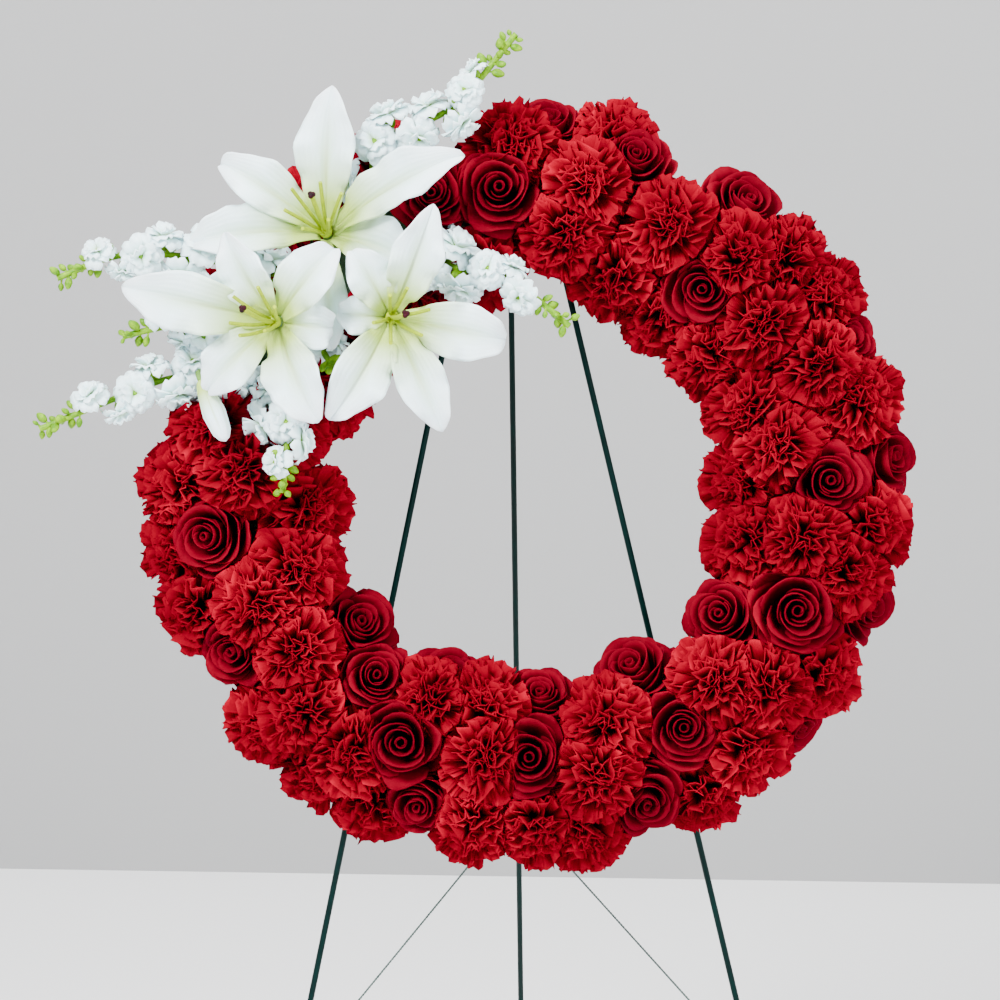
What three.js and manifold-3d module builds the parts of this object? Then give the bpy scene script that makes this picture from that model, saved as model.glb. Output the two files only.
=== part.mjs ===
// Funeral wreath: red roses and carnations on a ring of floral foam, with a spray of white
// lilies and stock, on a folding three-legged wire easel.
// Millimetres, +Z up, the front of the wreath faces -Y, the origin is under its middle.
// The flowers are laid out in the wreath's own frame: x to the right, y up the leaning
// plane and z out towards the viewer, with the ring's middle at 0,0 and the tray's back at 0.
import * as THREE from 'three';
import { mergeVertices } from 'three/addons/utils/BufferGeometryUtils.js';
import Module from 'manifold-3d';

const wasm = await Module();
wasm.setup();

// Driving dimensions
const GAP = 0.3;
const SLIVER = 0.05;
const LEAN_BACK = 10;
const RING_RADIUS = 179;
const RING_FACETS = 36;
const TUBE_HEIGHT = 24;
const FOAM = { half: 32, topHalf: 22, base: 2.8, shoulder: 32, top: 45 };
const TRAY = { wall: 1.6, floor: 2.5, height: 14 };
const BLOOM_REACH = 44;
const FACING = 0.65;
const CARNATION_SIZE = 64;
const BLOOM_STEM = { radius: 2, depth: 10, clearance: 0.8 };
const BLOOM_LOWEST = 5;
const HOLLOW_MARGIN = 3.4;
const WIRE = 2;
const EASEL_X = -9;
const LEG_PLANE = -2.5;
const APEX = 241;
const FEET = -669;
const LEG_SPLAY = 0.22;
const LEGS_MEET = 290.6;
const TOP_BEND = { drop: 9, corner: 3, draw: 1.8, half: 6.5 };
const BACK_SPLAY = 18;
const EYE_RADIUS = 4.4;
const SPIKE = { radius: 1.75, tip: 22, point: 4, sharp: 0.6,
  places: [[-1, -150], [1, -150], [-1, 175], [1, 175]] };
const CORD = { radius: 0.75, height: -380, alongBack: 534, knot: 3.1 };

// Red blooms: [angle round the ring, lean out of its crest, width across]. Angles in degrees.
const ROSES = [
  [3, 73, 52], [23, 54, 50], [47, -20, 55], [51, 58, 54], [71, 45, 50], [86, 70, 50],
  [95, 5, 58], [108, 12, 48], [189, 30, 52], [209, 43, 50], [219, -52, 50], [231, -28, 48],
  [243, 3, 62], [248, -72, 48], [250, 45, 48], [269, -7, 56], [272, -62, 44], [289, 43, 52],
  [298, -62, 50], [301, 3, 50], [317, 78, 50], [324, -40, 48], [333, 7, 60], [339, 73, 52],
  [359, 9, 52],
];
// Carnations stand in clusters whose ruffled heads have grown into each other.
const CARNATIONS = [
  [[92, 44], [78, 12], [81, -29], [75, 66], [66, -58]],
  [[60, 3], [46, 14], [40, 48], [31, 56]],
  [[51, -72], [34, -58], [33, -4], [17, -45]],
  [[21, 21], [13, 48]],
  [[7, -27], [359, -62], [344, -50], [347, -4]],
  [[351, 54], [343, 36]],
  [[325, 60], [318, 24], [312, -8], [308, 53], [298, 78]],
  [[287, -25], [282, 13], [278, 62], [270, 50], [260, 54]],
  [[260, -5], [258, -46], [245, -36]],
  [[236, 30], [225, 30], [243, 80], [233, 75], [222, 72]],
  [[215, 1], [204, 9], [200, -30], [186, -52]],
  [[180, 62], [190, 76], [200, 73]],
  [[177, 0], [169, 26], [168, -30]],
  [[151, 70], [139, 70], [127, 70], [115, 70]],
  [[154, -66], [137, -66], [120, -66], [102, -60]],
];

// Rows of a bloom from its crown to its stem: [points, distance out, height, ruffle],
// as shares of the bloom's width. A rim stands over the row below it as a petal's edge does.
const ROSE_ROWS = [
  [1, 0, 0.30, 0], [3, 0.09, 0.40, 0], [3, 0.13, 0.30, 0], [5, 0.25, 0.38, 0],
  [5, 0.26, 0.25, 0], [7, 0.41, 0.28, 0.08], [7, 0.39, 0.14, 0.04], [10, 0.485, 0.10, 0.14],
  [4, 0.37, -0.10, 0], [3, 0.12, -0.27, 0],
];
const CARNATION_ROWS = [
  [1, 0, 0.30, 0], [4, 0.14, 0.42, 0.1], [8, 0.32, 0.32, 0.38], [9, 0.49, 0.15, 0.30],
  [6, 0.47, -0.06, 0.1], [3, 0.27, -0.20, 0], [3, 0.10, -0.27, 0],
];
const FLORET_ROWS = [
  [3, 0.20, 0.38, 0], [5, 0.50, 0.10, 0.2], [3, 0.24, -0.20, 0], [3, 0.06, -0.40, 0],
];
const BUD_ROWS = [[1, 0, 0.5, 0], [3, 0.4, 0, 0], [1, 0, -0.5, 0]];

// Lilies: middle of the throat, the way it faces, the way its stamens bend, where its stalk
// enters the foam, and its tepals as [turn about the axis, length, width, end of the curl,
// start of the curl].
const LILIES = [
  { name: 'lily_top', throat: [-125, 158, 98], faces: [-0.10, 0.26, 1], bundle: [-0.2, 0.6, 1],
    root: [-122, 147], tepals: [[85, 90, 44, 84, 42], [22, 104, 38, 92, 44], [338, 60, 42, 122, 60],
      [272, 74, 30, 134, 74], [181, 86, 40, 112, 56], [145, 82, 36, 100, 46]] },
  { name: 'lily_left', throat: [-157, 98, 122], faces: [-0.22, -0.10, 1], bundle: [-0.6, 0.35, 1],
    root: [-152, 100], tepals: [[163, 98, 44, 92, 44], [114, 64, 36, 92, 38], [48, 62, 40, 128, 46],
      [352, 38, 32, 165, 50], [296, 70, 42, 104, 46], [224, 62, 38, 108, 46]] },
  { name: 'lily_right', throat: [-82, 100, 114], faces: [0.16, -0.12, 1], bundle: [0.3, 0, 1],
    root: [-104, 132], tepals: [[72, 77, 38, 92, 42], [347, 75, 42, 108, 48], [289, 78, 36, 104, 46],
      [239, 76, 42, 108, 46], [176, 34, 28, 150, 40], [120, 50, 34, 116, 42]] },
];
const TEPAL = { thickness: 1.2, channel: 0.16, start: 4.5,
  rows: [[0, 0.12], [0.2, 0.4], [0.42, 0.9], [0.62, 1], [0.84, 0.66], [1, 0.08]] };
const THROAT_DEPTH = 12;
const LILY_STALK = 3.2;
const STAMENS = { count: 6, length: 42, radius: 0.9, spread: 15 };

// The lily bud that hangs below the left lily: base, tip and width.
const LILY_BUD = { base: [-203, 66, 98], tip: [-187, 26, 103], width: 15, root: [-176, 62],
  rows: [[-0.02, 0.15], [0.2, 0.34], [0.55, 0.5], [0.85, 0.4], [1, 0.08]] };

// Stocks: a stem bent through its points, florets along its middle and buds at its tip.
const STOCKS = [
  [[-88, 168, 33], [-92, 176, 58], [-92, 208, 82], [-44, 232, 92], [-4, 276, 96]],
  [[-146, 120, 33], [-152, 124, 58], [-190, 139, 70], [-252, 144, 80], [-292, 130, 84]],
  [[-163, 66, 33], [-172, 68, 58], [-218, 68, 76], [-264, 52, 82], [-304, 36, 86]],
  [[-66, 160, 33], [-62, 150, 62], [-50, 135, 84], [-9, 122, 95], [26, 94, 100]],
  [[-162, 48, 33], [-160, 46, 62], [-154, 44, 88], [-150, 22, 98], [-153, -6, 96]],
  [[-172, 84, 33], [-180, 86, 58], [-214, 100, 74], [-236, 97, 80], [-252, 93, 82]],
  [[-136, 92, 33], [-133, 89, 56], [-127, 81, 73], [-120, 70, 84]],
];
const FLORETS = { size: 37, from: 0.34, to: 0.84, each: 20, aside: 0.36 };
// Which way florets stand from the stem, in turn: across it, and out of the wreath
const FLORET_WAYS = [[1, 0.35], [-1, 0.35], [0.25, 1]];
// The way that the first floret of each stock stands
const FIRST_FLORETS = [0, 1, 1, 0, 1, 1, 0];
const TIP_BUDS = { size: 9, each: 9, aside: 3 };
const GOLDEN_TURN = 137.5;
const STOCK_STEM = 2;

const deg = THREE.MathUtils.degToRad;
const vec = (x, y, z) => new THREE.Vector3(x, y, z);
const OUT = vec(0, 0, 1);

let seed = 7;
function random() {
  seed = (seed * 16807) % 2147483647;
  return seed / 2147483647;
}

// Triangles between two loops of points, either of which may be a single point.
function band(index, upper, lower) {
  let i = 0;
  let j = 0;
  while (i < upper.count || j < lower.count) {
    const a = upper.start + (i % upper.count);
    const b = lower.start + (j % lower.count);
    const nextUpper = upper.phase + (i + 1) / upper.count;
    const nextLower = lower.phase + (j + 1) / lower.count;
    if (j === lower.count || (i < upper.count && nextUpper <= nextLower)) {
      i += 1;
      if (upper.count > 1) index.push(a, b, upper.start + (i % upper.count));
    } else {
      j += 1;
      if (lower.count > 1) index.push(a, b, lower.start + (j % lower.count));
    }
  }
}

// A closed surface through loops of points, each anticlockwise seen from the first one.
function stack(loops) {
  const positions = [];
  const index = [];
  let start = 0;
  const rings = loops.map(({ points, phase = 0 }) => {
    points.forEach((point) => positions.push(point.x, point.y, point.z));
    start += points.length;
    return { start: start - points.length, count: points.length, phase };
  });
  const top = rings[0];
  const bottom = rings[rings.length - 1];
  for (let i = 1; i + 1 < top.count; i += 1) index.push(top.start, top.start + i, top.start + i + 1);
  for (let k = 0; k + 1 < rings.length; k += 1) band(index, rings[k], rings[k + 1]);
  for (let i = 1; i + 1 < bottom.count; i += 1) {
    index.push(bottom.start, bottom.start + i + 1, bottom.start + i);
  }
  const geometry = new THREE.BufferGeometry();
  geometry.setAttribute('position', new THREE.Float32BufferAttribute(positions, 3));
  geometry.setIndex(index);
  return geometry;
}

function solid(geometry) {
  const plain = geometry.clone();
  plain.deleteAttribute('normal');
  plain.deleteAttribute('uv');
  const merged = mergeVertices(plain);
  return new wasm.Manifold(new wasm.Mesh({
    numProp: 3,
    vertProperties: Float32Array.from(merged.attributes.position.array),
    triVerts: Uint32Array.from(merged.index.array),
  }));
}

function geometryOf(body) {
  const mesh = body.getMesh();
  const geometry = new THREE.BufferGeometry();
  geometry.setAttribute('position', new THREE.BufferAttribute(mesh.vertProperties, 3));
  geometry.setIndex(new THREE.BufferAttribute(mesh.triVerts, 1));
  geometry.computeVertexNormals();
  return geometry;
}

const join = (bodies) => bodies.reduce((whole, body) => whole.add(body)).simplify(SLIVER);

// A ring of points round an axis, anticlockwise seen against the axis.
function circle(middle, axis, side, radius, count, phase = 0) {
  const across = side.clone().projectOnPlane(axis).normalize();
  const over = axis.clone().cross(across);
  const points = [];
  for (let i = 0; i < count; i += 1) {
    const turn = 2 * Math.PI * (phase + i / count);
    points.push(middle.clone()
      .addScaledVector(across, radius * Math.cos(turn))
      .addScaledVector(over, radius * Math.sin(turn)));
  }
  return { points, phase };
}

// A round bar of a given radius, or one radius for each point, along a bent line.
function bar(points, radius, sides) {
  const loops = points.map((point, k) => {
    const before = points[Math.max(0, k - 1)];
    const after = points[Math.min(points.length - 1, k + 1)];
    const back = before.clone().sub(after).normalize();
    const side = Math.abs(back.x) > 0.9 ? OUT : vec(1, 0, 0);
    return circle(point, back, side, Array.isArray(radius) ? radius[k] : radius, sides);
  });
  return solid(stack(loops));
}

// Where a bloom stands: its middle, its axis, the way back to its root, and the plane of
// foam that it stands on, as a normal and the bloom's height over it.
function seat(angle, lean) {
  const radial = vec(Math.cos(deg(angle)), Math.sin(deg(angle)), 0);
  const along = vec(-radial.y, radial.x, 0);
  const pointing = (turn) => radial.clone().multiplyScalar(Math.sin(deg(turn)))
    .addScaledVector(OUT, Math.cos(deg(turn)));
  const root = pointing(lean);
  const middle = radial.clone().multiplyScalar(RING_RADIUS)
    .add(vec(0, 0, TUBE_HEIGHT)).addScaledVector(root, BLOOM_REACH);
  const side = Math.sign(lean) || 1;
  const corner = Math.abs(Math.atan2(FOAM.topHalf, FOAM.top - TUBE_HEIGHT)) / deg(1);
  const shoulder = Math.abs(Math.atan2(FOAM.half, FOAM.shoulder - TUBE_HEIGHT)) / deg(1);
  const slope = vec(FOAM.top - FOAM.shoulder, FOAM.half - FOAM.topHalf, 0).normalize();
  let normal = OUT.clone();
  let face = FOAM.top - TUBE_HEIGHT;
  if (Math.abs(lean) > shoulder) {
    normal = radial.clone().multiplyScalar(side);
    face = FOAM.half;
  } else if (Math.abs(lean) > corner) {
    normal = radial.clone().multiplyScalar(side * slope.x).addScaledVector(OUT, slope.y);
    face = FOAM.half * slope.x + (FOAM.shoulder - TUBE_HEIGHT) * slope.y;
  }
  return { middle, along, root, axis: pointing(lean * FACING), normal,
    depth: BLOOM_REACH - face / normal.dot(root),
    height: BLOOM_REACH * normal.dot(root) - face, inward: lean < 0 };
}

// Everything that a bloom has to keep clear of, as round bodies that belong to a node.
const bodies = [];

function fences(bloom) {
  const list = [];
  bodies.forEach((other) => {
    if (other === bloom || (other.node === bloom.node && !(bloom.apart && other.apart))) return;
    const way = other.middle.clone().sub(bloom.middle);
    const length = way.length();
    if (length > bloom.radius + other.radius + GAP || length === 0) return;
    const share = (length ** 2 + bloom.radius ** 2 - other.radius ** 2) / (2 * length);
    const split = other.thin ? length - other.radius
      : THREE.MathUtils.clamp(share, 0.3 * length, 0.7 * length);
    list.push({ normal: way.normalize(), distance: Math.max(2, split - GAP) });
  });
  return list;
}

function fit(point, middle, planes) {
  const ray = point.clone().sub(middle);
  let share = 1;
  planes.forEach(({ normal, distance }) => {
    const reach = ray.dot(normal);
    if (reach > distance) share = Math.min(share, distance / reach);
  });
  return middle.clone().addScaledVector(ray, share);
}

// Loops of a bloom: rims of petals on its axis, narrowing below to the way of its root.
function bloomLoops(bloom, rows, planes) {
  return rows.map(([count, out, height, ruffle], row) => {
    const lean = THREE.MathUtils.clamp(0.5 - 2 * height, 0, 1);
    const axis = bloom.axis.clone().lerp(bloom.root, lean).normalize();
    const phase = row % 2 ? 0 : 0.5 / count;
    const level = bloom.middle.clone().addScaledVector(axis, height * bloom.size);
    const loop = circle(level, axis, bloom.along, out * bloom.size, count, phase);
    loop.points = loop.points.map((point, i) => {
      const pull = ruffle * (i % 2 ? 1 : 0.25) * (0.7 + 0.6 * random());
      const drawn = point.lerp(level, pull).addScaledVector(axis, -0.3 * pull * out * bloom.size);
      return fit(drawn, bloom.middle, planes);
    });
    return loop;
  });
}

const stemHoles = [];

function plantedBloom(bloom, rows) {
  const wallClearance = Math.abs(bloom.normal.z) < 0.01 ? TRAY.wall + 3 * GAP : 0;
  const hollowSide = bloom.inward && bloom.normal.z < 0.9 ? HOLLOW_MARGIN : 0;
  const planes = fences(bloom);
  planes.push({ normal: bloom.normal.clone().negate(),
    distance: bloom.height - GAP - wallClearance - hollowSide });
  planes.push({ normal: OUT.clone().negate(), distance: bloom.middle.z - BLOOM_LOWEST });
  const slant = bloom.normal.dot(bloom.root);
  const neck = bloom.depth - (2 * GAP + wallClearance + hollowSide) / slant
    - BLOOM_STEM.radius * Math.sqrt(1 - slant ** 2) / slant;
  const down = (distance) => bloom.middle.clone().addScaledVector(bloom.root, -distance);
  const tip = bloom.depth + BLOOM_STEM.depth;
  const ring = (distance, radius) => circle(down(distance), bloom.root, bloom.along, radius, 3);
  const { radius, clearance } = BLOOM_STEM;
  stemHoles.push(solid(stack([
    ring(neck - 4, radius + clearance), ring(tip + clearance / 2, radius + clearance)])));
  return solid(stack([...bloomLoops(bloom, rows, planes),
    ring(Math.max(neck, 4), radius), ring(tip, radius)]));
}

// The hole that a stalk stands in, a little deeper than its foot.
function stemHole(foot, above, radius, sides) {
  const bottom = foot.clone().lerp(above, -0.02);
  stemHoles.push(bar([above, bottom], radius + BLOOM_STEM.clearance, sides));
}

// A floret or bud that sits on a stem, cut back where another flower stands.
const floret = (bloom, rows) => solid(stack(bloomLoops(bloom, rows, fences(bloom))));

const finish = (color, roughness, metalness = 0) =>
  new THREE.MeshStandardMaterial({ color, roughness, metalness });
const finishes = {
  rose: finish('#8e0512', 0.55),
  carnation: finish('#c1081c', 0.65),
  lily: finish('#f4f6f3', 0.5),
  stamen: finish('#b4c81e', 0.5),
  stock: finish('#f1f4ee', 0.6),
  foam: finish('#2f5a34', 0.95),
  tray: finish('#1e3a24', 0.5),
  wire: finish('#15291f', 0.35, 0.2),
  cord: finish('#7f857f', 0.8),
};

const part = new THREE.Group();
const wreath = new THREE.Group();
wreath.rotation.x = deg(90 - LEAN_BACK);
wreath.updateMatrix();
part.add(wreath);

function place(group, name, body, material) {
  const mesh = new THREE.Mesh(geometryOf(body), material);
  mesh.name = name;
  group.add(mesh);
}

const number = (i) => String(i + 1).padStart(2, '0');
const spots = (points) => points.map(([x, y, z]) => vec(x, y, z));

// The stems of the white flowers, which the red blooms stand clear of
const stockStems = STOCKS.map((points) => new THREE.CatmullRomCurve3(spots(points)));
stockStems.forEach((curve, i) => {
  curve.getSpacedPoints(14).forEach((middle) => {
    bodies.push({ node: `stock_${number(i)}`, middle, radius: STOCK_STEM + 1.4, thin: true });
  });
});
LILIES.forEach(({ name, throat, faces, root }) => {
  const base = vec(...throat).addScaledVector(vec(...faces).normalize(), -THROAT_DEPTH);
  const foot = vec(...root, FOAM.top - 12);
  for (let share = 0; share <= 1; share += 0.1) {
    const middle = base.clone().lerp(foot, share);
    bodies.push({ node: name, middle, radius: LILY_STALK + 1, thin: true });
  }
});

for (let share = 0; share <= 1; share += 0.1) {
  const base = vec(...LILY_BUD.base);
  const pod = base.clone().lerp(vec(...LILY_BUD.tip), share);
  const stalk = base.clone().lerp(vec(...LILY_BUD.root, FOAM.top + 8), share);
  bodies.push({ node: 'lily_bud', middle: pod, radius: LILY_BUD.width / 2 + 2.4, thin: true });
  bodies.push({ node: 'lily_bud', middle: stalk, radius: BLOOM_STEM.radius + 3, thin: true });
}

// Florets of the stocks: places down each stem, on either side of it and in front
const stockFlorets = stockStems.map((curve, i) => {
  const length = curve.getLength();
  const list = [];
  for (let at = FLORETS.from * length; at < FLORETS.to * length; at += FLORETS.each) {
    const along = curve.getTangentAt(at / length);
    const [across, outward] = FLORET_WAYS[(list.length + FIRST_FLORETS[i]) % FLORET_WAYS.length];
    const axis = vec(0, 0, 1).cross(along).normalize().multiplyScalar(across)
      .addScaledVector(OUT, outward).normalize();
    const share = (at / length - FLORETS.from) / (FLORETS.to - FLORETS.from);
    const size = FLORETS.size * (1 - 0.35 * share);
    const middle = curve.getPointAt(at / length).addScaledVector(axis, FLORETS.aside * size);
    const bloom = { node: `stock_${number(i)}`, middle, axis, root: axis, along: vec(1, 0.3, 0.2),
      size, radius: size / 2, apart: true };
    bodies.push(bloom);
    list.push(bloom);
  }
  return list;
});

const roses = ROSES.map(([angle, lean, size], i) => (
  { ...seat(angle, lean), node: `rose_${number(i)}`, size, radius: size / 2 }));
const clusters = CARNATIONS.map((places, i) => places.map(([angle, lean]) => (
  { ...seat(angle, lean), node: `carnations_${number(i)}`, size: CARNATION_SIZE,
    radius: CARNATION_SIZE / 2 })));
bodies.push(...roses, ...clusters.flat());

roses.forEach((bloom) => place(wreath, bloom.node, plantedBloom(bloom, ROSE_ROWS), finishes.rose));
clusters.forEach((cluster) => {
  const blooms = cluster.map((bloom) => plantedBloom(bloom, CARNATION_ROWS));
  place(wreath, cluster[0].node, join(blooms), finishes.carnation);
});

// A thin blade through rows of three points, of one thickness across each row's normal.
function blade(rows, thickness) {
  const positions = [];
  rows.forEach(({ points, normal }) => [0.5, -0.5].forEach((side) => points.forEach((point) => {
    const shifted = point.clone().addScaledVector(normal, side * thickness);
    positions.push(shifted.x, shifted.y, shifted.z);
  })));
  const index = [];
  const at = (row, column, under) => row * 6 + column + (under ? 3 : 0);
  const quad = (a, b, c, d) => index.push(a, c, b, a, d, c);
  for (let row = 0; row + 1 < rows.length; row += 1) {
    for (let column = 0; column < 2; column += 1) {
      const corners = (under) => [at(row, column, under), at(row, column + 1, under),
        at(row + 1, column + 1, under), at(row + 1, column, under)];
      const [a, b, c, d] = corners(false);
      const [e, f, g, h] = corners(true);
      if (column) {
        index.push(a, d, b, b, d, c, e, f, h, f, g, h);
      } else {
        index.push(a, c, b, a, d, c, e, f, g, e, g, h);
      }
    }
    quad(at(row, 0, true), at(row, 0, false), at(row + 1, 0, false), at(row + 1, 0, true));
    quad(at(row, 2, false), at(row, 2, true), at(row + 1, 2, true), at(row + 1, 2, false));
  }
  const last = rows.length - 1;
  for (let column = 0; column < 2; column += 1) {
    quad(at(0, column, true), at(0, column + 1, true), at(0, column + 1, false), at(0, column, false));
    quad(at(last, column, false), at(last, column + 1, false),
      at(last, column + 1, true), at(last, column, true));
  }
  const geometry = new THREE.BufferGeometry();
  geometry.setAttribute('position', new THREE.Float32BufferAttribute(positions, 3));
  geometry.setIndex(index);
  return geometry;
}

// A tepal leaves the throat nearly along the lily's axis and curls outwards to its tip.
function tepal(base, axis, [turn, length, width, end, begin]) {
  const across = vec(1, 0, 0).projectOnPlane(axis).normalize();
  const out = across.clone().multiplyScalar(Math.cos(deg(turn)))
    .addScaledVector(axis.clone().cross(across), Math.sin(deg(turn)));
  const side = axis.clone().cross(out);
  const rows = TEPAL.rows.map(([share, breadth]) => {
    const middle = base.clone().addScaledVector(out, TEPAL.start);
    const steps = 24;
    for (let i = 0; i < steps; i += 1) {
      const opening = deg(begin + (end - begin) * share * ((i + 0.5) / steps));
      middle.addScaledVector(axis, Math.cos(opening) * length * share / steps)
        .addScaledVector(out, Math.sin(opening) * length * share / steps);
    }
    const opening = deg(begin + (end - begin) * share);
    const normal = axis.clone().multiplyScalar(Math.sin(opening))
      .addScaledVector(out, -Math.cos(opening));
    const reach = breadth * width / 2;
    const lift = reach * 2 * TEPAL.channel;
    const edge = (way) => middle.clone().addScaledVector(side, way * reach)
      .addScaledVector(normal, lift);
    return { points: [edge(-1), middle, edge(1)], normal };
  });
  return solid(blade(rows, TEPAL.thickness));
}

// A thread that starts one way and bends to another, from its tip to its foot.
function thread(foot, startWay, endWay, length, steps) {
  const points = [foot.clone()];
  for (let step = 0; step < steps; step += 1) {
    const way = startWay.clone().lerp(endWay, (step + 0.5) / steps).normalize();
    points.unshift(points[0].clone().addScaledVector(way, length / steps));
  }
  return points;
}

LILIES.forEach(({ name, throat, faces, bundle, root, tepals }) => {
  const axis = vec(...faces).normalize();
  const base = vec(...throat).addScaledVector(axis, -THROAT_DEPTH);
  const foot = vec(...root, FOAM.top - 12);
  const stalk = [base.clone().addScaledVector(axis, 3), base.clone().addScaledVector(axis, -5),
    vec(...root, FOAM.top + 4), foot];
  stemHole(stalk[3], stalk[2], LILY_STALK, 5);
  const pieces = tepals.map((sizes) => tepal(base, axis, sizes));
  pieces.push(bar(stalk, [6, 4, LILY_STALK, LILY_STALK], 5));
  place(wreath, name, join(pieces), finishes.lily);

  const knob = base.clone().addScaledVector(axis, 3 + 2 * GAP);
  const neck = knob.clone().addScaledVector(axis, 4);
  const bend = vec(...bundle).normalize();
  const across = vec(1, 0.2, 0).projectOnPlane(bend).normalize();
  const over = bend.clone().cross(across);
  const threads = [bar([knob.clone().addScaledVector(axis, 7), knob], 2.6, 5),
    bar(thread(neck, axis, bend, STAMENS.length + 3, 2), [2.2, 1.2, 1.4], 4)];
  for (let i = 0; i < STAMENS.count; i += 1) {
    const turn = 2 * Math.PI * i / STAMENS.count;
    const out = across.clone().multiplyScalar(Math.cos(turn)).addScaledVector(over, Math.sin(turn));
    const end = bend.clone().multiplyScalar(Math.cos(deg(1.5 * STAMENS.spread)))
      .addScaledVector(out, Math.sin(deg(1.5 * STAMENS.spread)));
    const start = axis.clone().addScaledVector(out, 0.2).normalize();
    threads.push(bar(thread(neck, start, end, STAMENS.length, 2), STAMENS.radius, 3));
  }
  place(wreath, `${name}_stamens`, join(threads), finishes.stamen);
});

// The unopened lily: a closed pod on a stalk of its own.
function lilyBud() {
  const base = vec(...LILY_BUD.base);
  const tip = vec(...LILY_BUD.tip);
  const back = base.clone().sub(tip).normalize();
  const loops = LILY_BUD.rows.map(([share, half]) => circle(base.clone().lerp(tip, share), back,
    OUT, half * LILY_BUD.width, 6));
  const stalk = [base.clone().lerp(tip, 0.1), base.clone().addScaledVector(back, 4),
    vec(...LILY_BUD.root, FOAM.top + 8), vec(...LILY_BUD.root, FOAM.top - 10)];
  stemHole(stalk[3], stalk[2], BLOOM_STEM.radius, 5);
  return join([solid(stack(loops)), bar(stalk, BLOOM_STEM.radius, 5)]);
}
place(wreath, 'lily_bud', lilyBud(), finishes.lily);

stockStems.forEach((curve, i) => {
  const node = `stock_${number(i)}`;
  const length = curve.getLength();
  const line = curve.getSpacedPoints(6);
  const pieces = [bar(line, line.map((_, k) => STOCK_STEM - 0.07 * k), 3)];
  stemHole(line[0], line[0].clone().lerp(line[1], 1.3), STOCK_STEM, 3);
  stockFlorets[i].forEach((bloom) => pieces.push(floret(bloom, FLORET_ROWS)));
  let bud = 0;
  for (let at = FLORETS.to * length; at < length; at += TIP_BUDS.each) {
    const turn = deg(GOLDEN_TURN * bud);
    const share = Math.min(1, at / length);
    const along = curve.getTangentAt(share);
    const side = vec(0, 0, 1).cross(along).normalize();
    const axis = side.multiplyScalar(Math.cos(turn)).addScaledVector(vec(0, 0, 1), Math.sin(turn))
      .addScaledVector(along, 0.4).normalize();
    const middle = curve.getPointAt(share).addScaledVector(axis, TIP_BUDS.aside);
    pieces.push(floret({ node, middle, axis, root: axis, along, size: TIP_BUDS.size,
      radius: TIP_BUDS.size / 2 }, BUD_ROWS));
    bud += 1;
  }
  place(wreath, node, join(pieces), finishes.stock);
});

// A ring with the given cross-section, [outward, up] from the tube's centre circle
function ringOf(section) {
  const profile = section.map(([out, height]) => new THREE.Vector2(RING_RADIUS + out, height));
  profile.push(profile[0]);
  return solid(new THREE.LatheGeometry(profile, RING_FACETS).rotateX(Math.PI / 2));
}

const spikeLocals = SPIKE.places.map(([side, up]) => (
  vec(EASEL_X + side * LEG_SPLAY * (LEGS_MEET - up), up, LEG_PLANE)));
const spikeHoles = spikeLocals.map((foot) => {
  const from = vec(foot.x, foot.y, -5);
  return bar([from, vec(foot.x, foot.y, SPIKE.tip + GAP)], SPIKE.radius + 2 * GAP, 6);
});
const foamSection = [[-FOAM.half, FOAM.base], [FOAM.half, FOAM.base], [FOAM.half, FOAM.shoulder],
  [FOAM.topHalf, FOAM.top], [-FOAM.topHalf, FOAM.top], [-FOAM.half, FOAM.shoulder]];
const inside = FOAM.half + GAP;
const outside = inside + TRAY.wall;
const traySection = [[-outside, 0], [outside, 0], [outside, TRAY.height], [inside, TRAY.height],
  [inside, TRAY.floor], [-inside, TRAY.floor], [-inside, TRAY.height], [-outside, TRAY.height]];
const holes = [...stemHoles, ...spikeHoles];
const foam = wasm.Manifold.difference([ringOf(foamSection), ...holes]);
const tray = wasm.Manifold.difference([ringOf(traySection), ...spikeHoles]);
place(wreath, 'foam_ring', foam, finishes.foam);
place(wreath, 'tray', tray, finishes.tray);

// The easel stands in the object's own frame: its front legs lean back with the wreath.
const stand = (x, y, z) => vec(x, y, z).applyMatrix4(wreath.matrix);
const floorHeight = stand(0, FEET, LEG_PLANE).z;
const ground = solid(new THREE.BoxGeometry(2000, 2000, 200).translate(0, 0, floorHeight - 100));

const legX = (up) => LEG_SPLAY * (LEGS_MEET - up);
const halfFrame = [[legX(FEET - 20), FEET - 20], [legX(SPIKE.places[0][1]), SPIKE.places[0][1]],
  [legX(APEX - TOP_BEND.drop), APEX - TOP_BEND.drop],
  [legX(APEX - TOP_BEND.drop) - TOP_BEND.draw, APEX - TOP_BEND.corner], [TOP_BEND.half, APEX]];
const framePoints = [...halfFrame.map(([x, up]) => [-x, up]), ...halfFrame.reverse()]
  .map(([x, up]) => stand(EASEL_X + x, up, LEG_PLANE));
const spikes = spikeLocals.map(({ x, y }) => bar([stand(x, y, SPIKE.tip),
  stand(x, y, SPIKE.tip - SPIKE.point), stand(x, y, LEG_PLANE)],
[SPIKE.sharp, SPIKE.radius, SPIKE.radius], 6));
const frontFrame = join([bar(framePoints, WIRE, 8), ...spikes]).subtract(ground);
place(part, 'front_frame', frontFrame, finishes.wire);

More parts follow.
